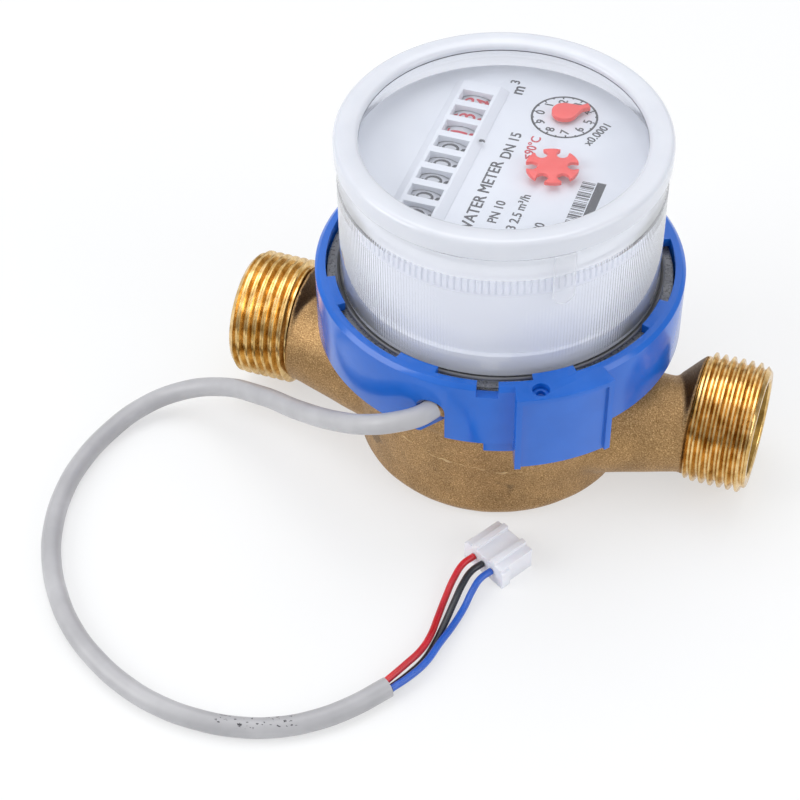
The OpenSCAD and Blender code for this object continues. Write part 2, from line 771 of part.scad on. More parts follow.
module dial_plate() {
    slot_r = wheel_d / 2 + 2 * run_gap;
    slot_y = [counter_end - 0.4, worm_y + worm_wheel_w / 2 + 0.4];
    color(white) difference() {
        union() {
            translate([0, 0, dial_low]) cylinder(r = drum_r, h = dial_t);
            intersection() {
                number_bar();
                translate([0, 0, dial_low]) cylinder(r = bezel_in_r - 0.2, h = dial_t + bar_h + 1);
            }
        }
        translate([counter_x, slot_y[0], counter_z]) rotate([-90, 0, 0])
            cylinder(r = slot_r, h = slot_y[1] - slot_y[0]);
        for (i = [0:wheel_count - 1])
            translate([counter_x - window_x / 2, counter_y - i * wheel_pitch - wheel_w / 2, dial_low])
                cube([window_x, wheel_w, dial_t + bar_h + 1]);
        for (at = [pointer_at, star_at]) translate([at[0], at[1], dial_low - 1])
            cylinder(d = fine_arbor_d + 2 * run_gap, h = dial_t + 2);
        translate([worm_at[0], worm_at[1], dial_low - 1])
            cylinder(d = fine_arbor_d + 2 * run_gap, h = 1 + worm_tip + run_gap);
    }
}

// Gear train

module follower() {
    color(white) {
        translate([0, 0, register_low]) cylinder(d = arbor_d, h = works - register_low);
        translate([0, 0, register_in + 0.3]) cylinder(d = hub_d, h = magnet_h + 0.6);
        translate([0, 0, register_in + 0.3 + magnet_h]) cylinder(d = magnet_d, h = 0.6);
        gear(follower_teeth, follower_to_star, level_a, gear_h, angle_of(star_at));
    }
}

module follower_magnet() {
    color(black) ring(hub_d / 2, magnet_d / 2, register_in + 0.3, register_in + 0.3 + magnet_h);
}

// Flat rotor of the star: a disc with a round gap between each two arms
module star_rotor() {
    arms = 6;
    arm_dir = 107.5;
    gap_r = star_d * 0.11;
    difference() {
        circle(d = star_d);
        for (i = [0:arms - 1]) rotate(arm_dir + 360 * (i + 0.5) / arms) {
            translate([star_d * 0.385, 0]) circle(r = gap_r, $fn = 24);
            translate([star_d * 0.385, -gap_r * 0.85]) square([star_d, gap_r * 1.7]);
        }
    }
}

module star_wheel() {
    rotor_low = dial_z + 1.2;
    rotor_t = 0.8;
    color(coral) translate([star_at[0], star_at[1], 0]) {
        translate([0, 0, register_low]) cylinder(d = arbor_d, h = works + 0.6 - register_low);
        translate([0, 0, works]) cylinder(d = fine_arbor_d, h = rotor_low - works + eps);
        gear(star_teeth, follower_to_star, level_a, gear_h, angle_of(-star_at) + 180 / star_teeth);
        gear(star_pinion_teeth, star_to_idler, level_b, gear_h, angle_of(idler_at - star_at));
        translate([0, 0, rotor_low]) linear_extrude(rotor_t) star_rotor();
    }
}

module idler() {
    color(white) translate([idler_at[0], idler_at[1], 0]) {
        translate([0, 0, register_low]) cylinder(d = arbor_d, h = level_c + gear_h + 0.3 - register_low);
        gear(idler_teeth, star_to_idler, level_b, gear_h, angle_of(star_at - idler_at) + 180 / idler_teeth);
        gear(idler_pinion_teeth, idler_to_hand, level_c, gear_h, angle_of(pointer_at - idler_at));
    }
}

// Flat hand of the pointer: a round hub that flares into a narrow bar
module pointer_hand() {
    hub_r = pointer_l * 0.48;
    neck = [pointer_l * 0.68, 0.55];
    tip_w = 0.65;
    circle(r = hub_r);
    polygon([[hub_r * 0.5, -hub_r * 0.86], [neck[0], -neck[1]], [pointer_l, -tip_w],
             [pointer_l, tip_w], [neck[0], neck[1]], [hub_r * 0.5, hub_r * 0.86]]);
}

module pointer() {
    hand_low = dial_z + 0.6;
    hand_t = 1;
    drive_top = level_d + gear_h;
    color(coral) translate([pointer_at[0], pointer_at[1], 0]) {
        translate([0, 0, ledge]) cylinder(d = arbor_d, h = drive_top + 0.5 - ledge);
        translate([0, 0, drive_top]) cylinder(d = fine_arbor_d, h = hand_low - drive_top + eps);
        gear(pointer_teeth, idler_to_hand, level_c, gear_h,
             angle_of(idler_at - pointer_at) + 180 / pointer_teeth);
        gear(pointer_drive_teeth, hand_to_worm, level_d, gear_h, angle_of(worm_at - pointer_at));
        translate([0, 0, hand_low]) linear_extrude(hand_t) rotate(pointer_dir) pointer_hand();
    }
}

module counter_drive() {
    worm_l = worm_turns * worm_pitch;
    worm_low = counter_z - worm_l / 2;
    worm_lap = 0.2;
    color(white) translate([worm_at[0], worm_at[1], 0]) {
        translate([0, 0, ledge]) cylinder(d = arbor_d, h = worm_low - ledge + worm_lap);
        gear(worm_gear_teeth, hand_to_worm, level_d, gear_h,
             angle_of(pointer_at - worm_at) + 180 / worm_gear_teeth);
        translate([0, 0, counter_z])
            linear_extrude(worm_l, center = true, twist = -360 * worm_turns,
                           slices = 12 * worm_turns, $fn = 14)
                translate([-worm_eccentric, 0]) circle(r = worm_r - 0.1);
        translate([0, 0, worm_low + worm_l - worm_lap])
            cylinder(d = fine_arbor_d, h = dial_low + worm_tip - 0.15 - worm_low - worm_l + worm_lap);
    }
}

// Counter

module counter_frame() {
    mid = counter_x - upright_w / 2;
    color(white) difference() {
        union() {
            translate([mid, upright_low_y, works])
                cube([upright_w, upright_high_y + upright_t - upright_low_y, frame_h]);
            for (y = [upright_low_y, upright_high_y]) translate([mid, y, works])
                cube([upright_w, upright_t, counter_z + 2.5 - works]);
        }
        for (shaft = [[number_shaft_d, counter_z], [pinion_shaft_d, pinion_z]])
            translate([counter_x, upright_low_y - 1, shaft[1]]) rotate([-90, 0, 0])
                cylinder(d = shaft[0], h = upright_high_y + upright_t - upright_low_y + 2);
    }
}

module counter_shaft(d, z) {
    color(steel) translate([counter_x, upright_low_y, z]) rotate([-90, 0, 0])
        cylinder(d = d, h = upright_high_y + upright_t - upright_low_y);
}

module number_shaft() {
    counter_shaft(number_shaft_d, counter_z);
}

module pinion_shaft() {
    counter_shaft(pinion_shaft_d, pinion_z);
}

// Number wheel: face, carry disc with two teeth, and the driven gear on the other side
module number_wheel(i) {
    half = wheel_w / 2;
    tooth_w = 0.7;
    drum_color = i < decimal_count ? coral : black;
    color(drum_color) translate([counter_x, counter_y - i * wheel_pitch, counter_z]) rotate([-90, 0, 0])
        difference() {
            union() {
                translate([0, 0, -half]) cylinder(d = wheel_d, h = wheel_w);
                if (i < wheel_count - 1) translate([0, 0, -half - carry_w]) {
                    cylinder(r = lock_r, h = carry_w + eps);
                    for (side = [-1, 1]) rotate(-90 + side * 180 / carry_teeth)
                        translate([0, -tooth_w / 2, 0]) cube([carry_distance - 1.6, tooth_w, carry_w + eps]);
                }
                if (i > 0) gear(carry_teeth, carry_module, half - eps, carry_w, 90);
                if (i == 0) {
                    translate([0, 0, half - eps]) cylinder(r = worm_wheel_r - 1.2, h = worm_hub + 2 * eps);
                    gear(worm_wheel_teeth, 2 * worm_wheel_r / worm_wheel_teeth, half + worm_hub, worm_wheel_w,
                         180 / worm_wheel_teeth);
                }
            }
            translate([0, 0, -wheel_pitch]) cylinder(d = number_shaft_d + 2 * run_gap, h = 3 * wheel_pitch);
        }
}

// Carry pinion between wheel i and wheel i + 1
module carry_pinion(i) {
    gap_y = counter_y - i * wheel_pitch - wheel_pitch / 2;
    color(white) translate([counter_x, gap_y, pinion_z]) rotate([-90, 0, 0]) difference() {
        gear(pinion_teeth, carry_module, -pinion_w / 2, pinion_w, -90 + 180 / pinion_teeth);
        translate([0, 0, -pinion_w]) cylinder(d = pinion_shaft_d + 2 * run_gap, h = 2 * pinion_w);
    }
}

// Lead and plug

module cable_sheath() {
    color(grey) cord(sheath_route, sheath_r, sheath_sides);
}

module wire(i, tint) {
    color(tint) cord(wire_routes[i], wire_r, wire_sides);
}

module plug_place() {
    translate([plug_at[0], plug_at[1], 0]) rotate(plug_dir) children();
}

module plug_housing() {
    cell_w = 1.7;
    cell_h = 2.4;
    rib_w = 1.3;
    recess = 0.9;
    lug_l = 2.2;
    color(white) plug_place() difference() {
        union() {
            translate([-plug_l / 2, -plug_w / 2, 0]) cube([plug_l, plug_w, plug_t - recess]);
            for (side = [-1, 1]) translate([-plug_l / 2, side * (plug_w / 2 - 2.4) - rib_w / 2, 0])
                cube([plug_l, rib_w, plug_t]);
            translate([-plug_l / 2, -plug_w / 2 - 0.6, 0]) cube([lug_l, plug_w + 1.2, plug_t - 1.6]);
        }
        for (i = [-1:1]) translate([-plug_l / 2 + 1.5, i * plug_pitch - cell_w / 2, plug_t / 2 - cell_h / 2])
            cube([plug_l, cell_w, cell_h]);
    }
}

module plug_contacts() {
    contact_w = 1.4;
    contact_h = 2;
    color(steel) plug_place() for (i = [-1:1])
        translate([-plug_l / 2 + 1.8, i * plug_pitch - contact_w / 2, plug_t / 2 - 1.2]) difference() {
            cube([plug_l - 3, contact_w, contact_h]);
            translate([1, 0.3, 0.3]) cube([plug_l, contact_w - 0.6, contact_h - 0.6]);
        }
}

brass_body();
inlet_strainer();
impeller_pin();
impeller();
impeller_magnet();
flange_gasket();
pressure_plate();
shield_ring();
clamp_ring();
lock_pin();
sensor_board();
hood_seal();
hood();
hood_bezel();
register_base();
gear_plate();
dial_plate();
follower();
follower_magnet();
star_wheel();
idler();
pointer();
counter_drive();
counter_frame();
number_shaft();
pinion_shaft();
for (i = [0:wheel_count - 1])
    number_wheel(i);
for (i = [0:wheel_count - 2])
    carry_pinion(i);
cable_sheath();
wire(0, [0.85, 0.05, 0.08]);  // wire_red
wire(1, black);  // wire_black
wire(2, [0.1, 0.25, 0.6]);  // wire_blue
plug_housing();
plug_contacts();
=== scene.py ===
import json
import math

import bmesh
import bpy
from mathutils import Matrix, Vector, noise


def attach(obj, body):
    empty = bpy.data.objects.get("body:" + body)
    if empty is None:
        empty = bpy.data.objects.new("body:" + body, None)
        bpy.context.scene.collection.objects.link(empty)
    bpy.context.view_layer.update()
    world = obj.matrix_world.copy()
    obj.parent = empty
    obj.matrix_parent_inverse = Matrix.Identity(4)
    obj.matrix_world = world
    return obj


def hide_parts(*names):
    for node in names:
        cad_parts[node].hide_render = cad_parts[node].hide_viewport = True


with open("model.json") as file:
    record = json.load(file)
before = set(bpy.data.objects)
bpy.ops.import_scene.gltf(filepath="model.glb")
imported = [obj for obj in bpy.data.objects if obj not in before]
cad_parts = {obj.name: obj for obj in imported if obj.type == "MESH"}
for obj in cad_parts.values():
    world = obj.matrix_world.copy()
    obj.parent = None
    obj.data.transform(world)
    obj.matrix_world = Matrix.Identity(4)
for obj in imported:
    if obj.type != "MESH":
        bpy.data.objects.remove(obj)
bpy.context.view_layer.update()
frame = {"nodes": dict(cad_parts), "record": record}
scene = bpy.context.scene
scene.view_settings.view_transform = "Standard"
mm = 0.001  # every size below is in millimetres and is scaled where a mesh is made
print("frame loaded:", len(frame["nodes"]), "nodes")

# camera where the photograph was taken from
cameraSet = {"place": (83.08, -281.69, 307.5), "turn": (44.166, 0.820, 19.527), "lens": 90, "clipStart": 10}
camera = bpy.data.objects.new("photoCamera", bpy.data.cameras.new("photoCamera"))
camera.location = Vector(cameraSet["place"]) * mm
camera.rotation_euler = [math.radians(a) for a in cameraSet["turn"]]
camera.data.lens = cameraSet["lens"]
camera.data.clip_start = cameraSet["clipStart"] * mm
scene.collection.objects.link(camera)
scene.camera = camera
print("camera set")


# node helpers for the finishes

def blankFinish(name):
    finish = bpy.data.materials.new(name)
    finish.use_nodes = True
    tree = finish.node_tree
    return finish, tree, tree.nodes["Principled BSDF"]


def addNode(tree, kind, values=None, **settings):
    node = tree.nodes.new(kind)
    for key, value in settings.items():
        setattr(node, key, value)
    for key, value in (values or {}).items():
        node.inputs[key].default_value = value
    return node


def grain(tree, scale, detail=3.0, rough=0.55, stretch=None):  # noise on the piece's own place
    place = addNode(tree, "ShaderNodeTexCoord").outputs["Object"]
    if stretch:
        mapping = addNode(tree, "ShaderNodeMapping", {"Scale": stretch})
        tree.links.new(place, mapping.inputs["Vector"])
        place = mapping.outputs["Vector"]
    node = addNode(tree, "ShaderNodeTexNoise", {"Scale": scale, "Detail": detail, "Roughness": rough})
    tree.links.new(place, node.inputs["Vector"])
    return node.outputs["Fac"]


def ramp(tree, source, stops):  # colour stops over a 0 to 1 value
    node = tree.nodes.new("ShaderNodeValToRGB")
    elements = node.color_ramp.elements
    while len(elements) < len(stops):
        elements.new(0.5)
    for element, (place, colour) in zip(elements, stops):
        element.position = place
        element.color = (*colour, 1)
    tree.links.new(source, node.inputs["Fac"])
    return node.outputs["Color"]


def spread(tree, source, low, high, start=0.3, end=0.7):  # a 0 to 1 value moved to a range
    node = addNode(tree, "ShaderNodeMapRange",
                   {"From Min": start, "From Max": end, "To Min": low, "To Max": high})
    tree.links.new(source, node.inputs["Value"])
    return node.outputs["Result"]


def tinted(tree, base, source, stops, share=1.0):  # a colour multiplied by stops over a value
    mix = addNode(tree, "ShaderNodeMix", data_type="RGBA", blend_type="MULTIPLY")
    mix.inputs["Factor"].default_value = share
    tree.links.new(base, mix.inputs["A"])
    tree.links.new(ramp(tree, source, stops), mix.inputs["B"])
    return mix.outputs["Result"]


def bumped(tree, shader, source, strength, depth):
    node = addNode(tree, "ShaderNodeBump", {"Strength": strength, "Distance": depth * mm})
    tree.links.new(source, node.inputs["Height"])
    tree.links.new(node.outputs["Normal"], shader.inputs["Normal"])


# what every moulded finish shares: size and limits of its blotches, bump, coat and how far light bleeds in
mouldSet = {"blotch": 90, "from": 0.35, "to": 0.65, "bump": 0.25, "coatRough": 0.08, "bleed": (1.5, 1.0, 0.8)}


def moulded(name, pale, deep, rough, grainScale=1800, depth=0.02, coat=0.0, softness=0.0, metal=0.0):
    m = mouldSet
    finish, tree, shader = blankFinish(name)
    tint = ramp(tree, grain(tree, m["blotch"]), [(m["from"], deep), (m["to"], pale)])
    tree.links.new(tint, shader.inputs["Base Color"])
    fine = grain(tree, grainScale)
    tree.links.new(spread(tree, fine, *rough), shader.inputs["Roughness"])
    bumped(tree, shader, fine, m["bump"], depth)
    shader.inputs["Metallic"].default_value = metal
    shader.inputs["Coat Weight"].default_value = coat
    shader.inputs["Coat Roughness"].default_value = m["coatRough"]
    shader.inputs["Subsurface Weight"].default_value = softness
    shader.inputs["Subsurface Radius"].default_value = [reach * mm for reach in m["bleed"]]
    shader.inputs["Subsurface Scale"].default_value = 1.0
    return finish


# mesh helpers
meshSet = {"merge": 0.0001, "nodeMerge": 0.002, "flat": 0.6}  # corners this close are one, flatter edges go


def lathe(outline, steps, parts=8):  # outline of (radius, height) spun round the meter's upright axis
    bm = bmesh.new()
    verts = [bm.verts.new((r * mm, 0, z * mm)) for r, z in outline]
    edges = [bm.edges.new(pair) for pair in zip(verts, verts[1:])]
    bmesh.ops.spin(bm, geom=verts + edges, cent=(0, 0, 0), axis=(0, 0, 1), angle=math.tau / parts,
                   steps=steps // parts)
    bmesh.ops.spin(bm, geom=bm.verts[:] + bm.edges[:] + bm.faces[:], cent=(0, 0, 0), axis=(0, 0, 1),
                   angle=math.tau, steps=parts, use_duplicate=True)
    bmesh.ops.remove_doubles(bm, verts=bm.verts, dist=meshSet["merge"] * mm)
    bmesh.ops.recalc_face_normals(bm, faces=bm.faces)
    return bm


def nodeShape(node):  # a merged copy of a CAD node's triangles
    bm = bmesh.new()
    bm.from_mesh(frame["nodes"][node].data)
    bmesh.ops.remove_doubles(bm, verts=bm.verts, dist=meshSet["nodeMerge"] * mm)
    return bm


def makePiece(name, bm, finish, body, stands=(), sharp=35):
    mesh = bpy.data.meshes.new(name)
    bm.to_mesh(mesh)
    bm.free()
    mesh.shade_smooth()
    mesh.set_sharp_from_angle(angle=math.radians(sharp))
    mesh.materials.append(finish)
    thing = bpy.data.objects.new(name, mesh)
    scene.collection.objects.link(thing)
    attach(thing, body)
    if stands:
        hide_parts(*stands)
    return thing


def applyModifiers(thing, sharp=35):
    bpy.context.view_layer.update()
    graph = bpy.context.evaluated_depsgraph_get()
    thing.data = bpy.data.meshes.new_from_object(thing.evaluated_get(graph))
    thing.modifiers.clear()
    thing.data.shade_smooth()
    thing.data.set_sharp_from_angle(angle=math.radians(sharp))


def softEdges(name, node, finish, body, width, segments=2, angle=32):  # CAD shape with rounded edges
    bm = nodeShape(node)
    bmesh.ops.dissolve_limit(bm, angle_limit=math.radians(meshSet["flat"]), verts=bm.verts, edges=bm.edges)
    thing = makePiece(name, bm, finish, body, (node,))
    bevel = thing.modifiers.new("softEdges", "BEVEL")
    bevel.width = width * mm
    bevel.segments = segments
    bevel.limit_method = "ANGLE"
    bevel.angle_limit = math.radians(angle)
    applyModifiers(thing)
    return thing


# the lead: sheath from the ring to the strip of bare wires, three wires to the plug
leadSet = {
    "diameter": 4.0,
    "route": [
        (-1.5, -35.4, 37.4), (-3.6, -38.1, 37), (-7.6, -40.2, 36.1), (-12.4, -40.6, 34.2), (-20, -37.6, 29.4),
        (-31, -31.2, 22.4), (-43, -23.8, 15.7), (-54.5, -19.2, 10), (-64, -19.8, 6), (-71, -24.2, 3.2),
        (-75, -31.8, 2.1), (-76.8, -41, 2), (-76.6, -50, 2), (-74.4, -59.5, 2), (-70.8, -67.5, 2),
        (-65.4, -75.3, 2), (-59.2, -81.6, 2), (-51.8, -86.7, 2), (-44.2, -90.3, 2), (-36.6, -92.4, 2),
        (-28.4, -93, 2), (-20.4, -92.1, 2), (-13.6, -89.8, 2), (-7.6, -86.1, 2), (-2.2, -81, 2),
        (2.6, -74.7, 2)],
}
wireSet = {
    "diameter": 1.4,
    "red": [(1.87, -74.01, 2.5), (4.0, -69.2, 2.4), (5.7, -64.7, 2.2), (6.2, -60.7, 1.9), (6.0, -56.0, 1.4),
            (5.9, -50.8, 1.6), (6.1, -46.3, 2.3), (6.81, -42.53, 2.8), (8.23, -40.06, 2.9)],
    "black": [(2.67, -74.61, 1.2), (4.9, -70.2, 0.9), (6.6, -66.0, 0.8), (7.3, -61.6, 0.75),
              (7.7, -56.6, 1.2), (8.0, -51.3, 2.1), (8.3, -47.2, 2.7), (8.97, -43.78, 2.9),
              (10.4, -41.31, 2.9)],
    "blue": [(3.47, -75.21, 2.5), (5.8, -71.3, 2.4), (7.5, -67.2, 2.2), (8.5, -61.7, 1.9), (9.4, -56.9, 1.5),
             (10.1, -51.8, 1.5), (10.5, -48.0, 2.3), (11.14, -45.03, 2.8), (12.57, -42.56, 2.9)],
    "tints": {"red": ((0.72, 0.02, 0.03), (0.5, 0.01, 0.015)),
              "black": ((0.028, 0.03, 0.034), (0.016, 0.017, 0.02)),
              "blue": ((0.02, 0.13, 0.62), (0.014, 0.095, 0.48))},
}
markSet = {  # worn marks on the sheath: from, to and soft edge along each axis
    "X": (-25, -9, 1), "Y": (-93.6, -87.4, 0.2), "Z": (3.45, 5, 0.15),
    "scale": 1300, "stretch": (0.8, 1.3, 1.0), "cover": (0.60, 0.65), "ink": (0.07, 0.07, 0.08),
}
cordSet = {"sides": 7, "smooth": 8}
plugSet = {"edge": 0.12}


def cordCurve(name, route, diameter, finish, node):
    curve = bpy.data.curves.new(name, "CURVE")
    curve.dimensions = "3D"
    curve.bevel_depth = diameter / 2 * mm
    curve.bevel_resolution = cordSet["sides"]
    curve.resolution_u = cordSet["smooth"]
    curve.use_fill_caps = True
    spline = curve.splines.new("BEZIER")
    spline.bezier_points.add(len(route) - 1)
    for point, place in zip(spline.bezier_points, route):
        point.co = Vector(place) * mm
        point.handle_left_type = point.handle_right_type = "AUTO"
    curve.materials.append(finish)
    thing = bpy.data.objects.new(name, curve)
    scene.collection.objects.link(thing)
    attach(thing, "base")
    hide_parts(node)
    return thing


def between(tree, source, low, high, soft):  # 1 inside a range of a value, 0 outside it
    both = addNode(tree, "ShaderNodeMath", operation="MULTIPLY")
    tree.links.new(spread(tree, source, 0, 1, low, low + soft), both.inputs[0])
    tree.links.new(spread(tree, source, 1, 0, high - soft, high), both.inputs[1])
    return both.outputs["Value"]


def sheathFinish():  # grey jacket with worn black marks where its print was
    finish = moulded("greySheath", (0.50, 0.495, 0.51), (0.41, 0.405, 0.42), (0.34, 0.48),
                     grainScale=2600, depth=0.015, coat=0.1)
    tree = finish.node_tree
    shader = tree.nodes["Principled BSDF"]
    where = addNode(tree, "ShaderNodeSeparateXYZ")
    tree.links.new(addNode(tree, "ShaderNodeTexCoord").outputs["Object"], where.inputs[0])
    specks = grain(tree, markSet["scale"], 2, 0.5, markSet["stretch"])
    marks = spread(tree, specks, 0, 1, *markSet["cover"])
    for axis in "XYZ":
        limits = [value * mm for value in markSet[axis]]
        both = addNode(tree, "ShaderNodeMath", operation="MULTIPLY")
        tree.links.new(marks, both.inputs[0])
        tree.links.new(between(tree, where.outputs[axis], *limits), both.inputs[1])
        marks = both.outputs["Value"]
    base = shader.inputs["Base Color"].links[0].from_socket
    printed = tinted(tree, base, marks, [(0.0, (1, 1, 1)), (1.0, markSet["ink"])])
    tree.links.new(printed, shader.inputs["Base Color"])
    return finish


greySheath = sheathFinish()
lead = cordCurve("lead", leadSet["route"], leadSet["diameter"], greySheath, "cable_sheath")
plugWhite = moulded("plugWhite", (0.90, 0.90, 0.95), (0.86, 0.86, 0.915), (0.35, 0.5),
                    grainScale=1500, depth=0.012, softness=0.12)
plug = softEdges("plug", "plug_housing", plugWhite, "base", plugSet["edge"])
for colour, (pale, deep) in wireSet["tints"].items():
    insulation = moulded(colour + "Insulation", pale, deep, (0.25, 0.38),
                         grainScale=3000, depth=0.01, coat=0.3)
    route = wireSet[colour]
    wire = cordCurve(colour + "Wire", route, wireSet["diameter"], insulation, "wire_" + colour)
print("lead and wires laid")


# brass body: a soft cast middle and two turned thread ends
castSet = {"cutX": 42.4, "axisZ": 15.0, "voxel": 0.56, "softening": 4, "softShare": 0.5,
           "ripple": 0.07, "rippleScale": 260, "footFlat": 0.2, "footBlend": 1.0,
           "paintedShadeX": (36.0, 38.5), "paintedShadeFacing": (-0.25, -0.6)}
castTints = {  # colour stops of the sand grain, of the patches that darken or brighten it, and of the painted shade on the shoulder cones
    "sand": [(0.30, (0.20, 0.112, 0.04)), (0.46, (0.36, 0.215, 0.088)), (0.56, (0.46, 0.285, 0.125)),
             (0.70, (0.72, 0.50, 0.24))],
    "patches": [(0.3, (0.84, 0.82, 0.79)), (0.6, (1.08, 1.06, 1.03))],
    "smudges": [(0.63, (1, 1, 1)), (0.70, (0.45, 0.47, 0.52))],
    "shoulderPaintedShade": [(0.0, (1, 1, 1)), (1.0, (0.34, 0.30, 0.27))],
}
castGrain = {"sand": 3900, "patches": 170, "smudges": 75, "smudgeShare": 0.8, "bump": 0.7, "depth": 0.15,
             "rough": (0.56, 0.36), "metal": 0.75}
turnedSet = {"patches": 420, "from": 0.35, "to": 0.65, "tool": 900, "toolStretch": (6.0, 0.4, 0.4),
             "bump": 0.3, "depth": 0.02}
seamSet = {"from": -12.5, "to": 13.5, "step": 0.3, "height": 16.7, "fall": 0.127, "thick": 0.3, "sunk": 0.12,
           "sides": 2, "rayFromY": -60, "girth": 0.62, "thinnest": 0.1,
           "wander": [(1.1, 0.16, 3), (0.3, 0.9, 5)], "swell": [(0.9, 0.45, 8), (0.5, 1.7, 2)]}
threadSet = {"pitch": 1.814, "crest": 13.22, "root": 12.1, "start": 42.4, "end": 55.0, "steps": 72,
             "points": 10, "flatten": 1.4, "spareTurns": 2, "merge": 0.001,
             "mouthR": 11.9, "mouthSlope": 1.0, "runOutR": 12.5, "runOutSlope": 1.3,
             "bore": 9.9, "boreLip": 0.4}


def shoulderShade(tree):  # painted shade: 1 on the cones behind the threads, where the casting faces the bowl and lies in shade
    place = addNode(tree, "ShaderNodeTexCoord")
    where, facing = addNode(tree, "ShaderNodeSeparateXYZ"), addNode(tree, "ShaderNodeSeparateXYZ")
    tree.links.new(place.outputs["Object"], where.inputs[0])
    tree.links.new(place.outputs["Normal"], facing.inputs[0])
    side = addNode(tree, "ShaderNodeMath", operation="SIGN")
    tree.links.new(where.outputs["X"], side.inputs[0])
    inward = addNode(tree, "ShaderNodeMath", operation="MULTIPLY")
    tree.links.new(side.outputs["Value"], inward.inputs[0])
    tree.links.new(facing.outputs["X"], inward.inputs[1])
    far = addNode(tree, "ShaderNodeMath", operation="ABSOLUTE")
    tree.links.new(where.outputs["X"], far.inputs[0])
    both = addNode(tree, "ShaderNodeMath", operation="MULTIPLY")
    near, full = [x * mm for x in castSet["paintedShadeX"]]
    tree.links.new(spread(tree, inward.outputs["Value"], 0, 1, *castSet["paintedShadeFacing"]), both.inputs[0])
    tree.links.new(spread(tree, far.outputs["Value"], 0, 1, near, full), both.inputs[1])
    return both.outputs["Value"]


def castBrass():
    g = castGrain
    finish, tree, shader = blankFinish("castBrass")
    sand = grain(tree, g["sand"], 4, 0.6)
    colour = ramp(tree, sand, castTints["sand"])
    colour = tinted(tree, colour, grain(tree, g["patches"], 4), castTints["patches"])
    colour = tinted(tree, colour, grain(tree, g["smudges"], 3, 0.7), castTints["smudges"], g["smudgeShare"])
    # painted shade: the shoulder cones behind the threads are darkened
    colour = tinted(tree, colour, shoulderShade(tree), castTints["shoulderPaintedShade"])
    tree.links.new(colour, shader.inputs["Base Color"])
    shader.inputs["Metallic"].default_value = g["metal"]
    tree.links.new(spread(tree, sand, *g["rough"]), shader.inputs["Roughness"])
    bumped(tree, shader, sand, g["bump"], g["depth"])
    return finish


def turnedBrass(name, dull, bright, rough):
    s = turnedSet
    finish, tree, shader = blankFinish(name)
    colour = ramp(tree, grain(tree, s["patches"], 5), [(s["from"], dull), (s["to"], bright)])
    tree.links.new(colour, shader.inputs["Base Color"])
    shader.inputs["Metallic"].default_value = 1.0
    tool = grain(tree, s["tool"], 2, 0.5, s["toolStretch"])
    tree.links.new(spread(tree, tool, *rough), shader.inputs["Roughness"])
    bumped(tree, shader, tool, s["bump"], s["depth"])
    return finish


castFinish = castBrass()
turnedFinish = turnedBrass("turnedBrass", (0.52, 0.31, 0.085), (0.88, 0.63, 0.29), (0.14, 0.30))
# painted highlight: the seam gets a lighter brass than the casting, standing in for the light along its crest
seamHighlightFinish = turnedBrass("seamBrassPaintedHighlight", (0.48, 0.31, 0.14), (0.78, 0.57, 0.31), (0.35, 0.5))
# painted shade: the bore's inner wall gets a much darker brass than the turned threads
boreShadeFinish = turnedBrass("boreBrassPaintedShade", (0.20, 0.115, 0.025), (0.32, 0.19, 0.05), (0.3, 0.5))


def castMiddle():
    bm = nodeShape("brass_body")
    cut = castSet["cutX"] * mm
    for side in (-1, 1):
        halves = bm.verts[:] + bm.edges[:] + bm.faces[:]
        done = bmesh.ops.bisect_plane(bm, geom=halves, plane_co=(side * cut, 0, 0), plane_no=(side, 0, 0),
                                      clear_outer=True)
        rims = [e for e in done["geom_cut"] if isinstance(e, bmesh.types.BMEdge)]
        bmesh.ops.bridge_loops(bm, edges=rims)
    thing = makePiece("castBody", bm, castFinish, "base", ("brass_body",))
    remesh = thing.modifiers.new("skin", "REMESH")
    remesh.mode = "VOXEL"
    remesh.voxel_size = castSet["voxel"] * mm
    smooth = thing.modifiers.new("castBlend", "SMOOTH")
    smooth.factor = castSet["softShare"]
    smooth.iterations = castSet["softening"]
    applyModifiers(thing, sharp=60)
    bm = bmesh.new()
    bm.from_mesh(thing.data)
    for v in bm.verts:  # sand ripple, fading out at the flat foot
        share = max(0.0, min(1.0, v.co.z / mm / castSet["footBlend"] - castSet["footFlat"]))
        v.co += v.normal * noise.noise(v.co * castSet["rippleScale"]) * castSet["ripple"] * share * mm
    bm.to_mesh(thing.data)
    bm.free()
    return thing


def waver(x, waves):  # noise waves summed: height, scale along x and a place in the noise
    return sum(height * noise.noise((x * scale, place, 0)) for height, scale, place in waves)


def castSeam(casting):  # the mould's broken parting seam across the front of the bowl
    s = seamSet
    bpy.context.view_layer.update()
    curve = bpy.data.curves.new("castSeam", "CURVE")
    curve.dimensions = "3D"
    curve.bevel_depth = s["thick"] * mm
    curve.bevel_resolution = s["sides"]
    curve.use_fill_caps = True
    spline = curve.splines.new("POLY")
    spline.points.add(round((s["to"] - s["from"]) / s["step"]))
    for i, point in enumerate(spline.points):
        x = s["from"] + s["step"] * i
        z = s["height"] - s["fall"] * x + waver(x, s["wander"])
        place, facing = casting.ray_cast(Vector((x, s["rayFromY"], z)) * mm, (0, 1, 0))[1:3]
        point.co = (*(place - facing * s["sunk"] * mm), 1)
        point.radius = max(s["thinnest"], s["girth"] + waver(x, s["swell"]))
    line = bpy.data.objects.new("castSeam", curve)
    mesh = bpy.data.meshes.new_from_object(line)
    bm = bmesh.new()
    bm.from_mesh(mesh)
    bpy.data.objects.remove(line)
    bpy.data.curves.remove(curve)
    bpy.data.meshes.remove(mesh)
    # the seam's lighter brass is a painted highlight
    return makePiece("castSeam", bm, seamHighlightFinish, "base", sharp=60)


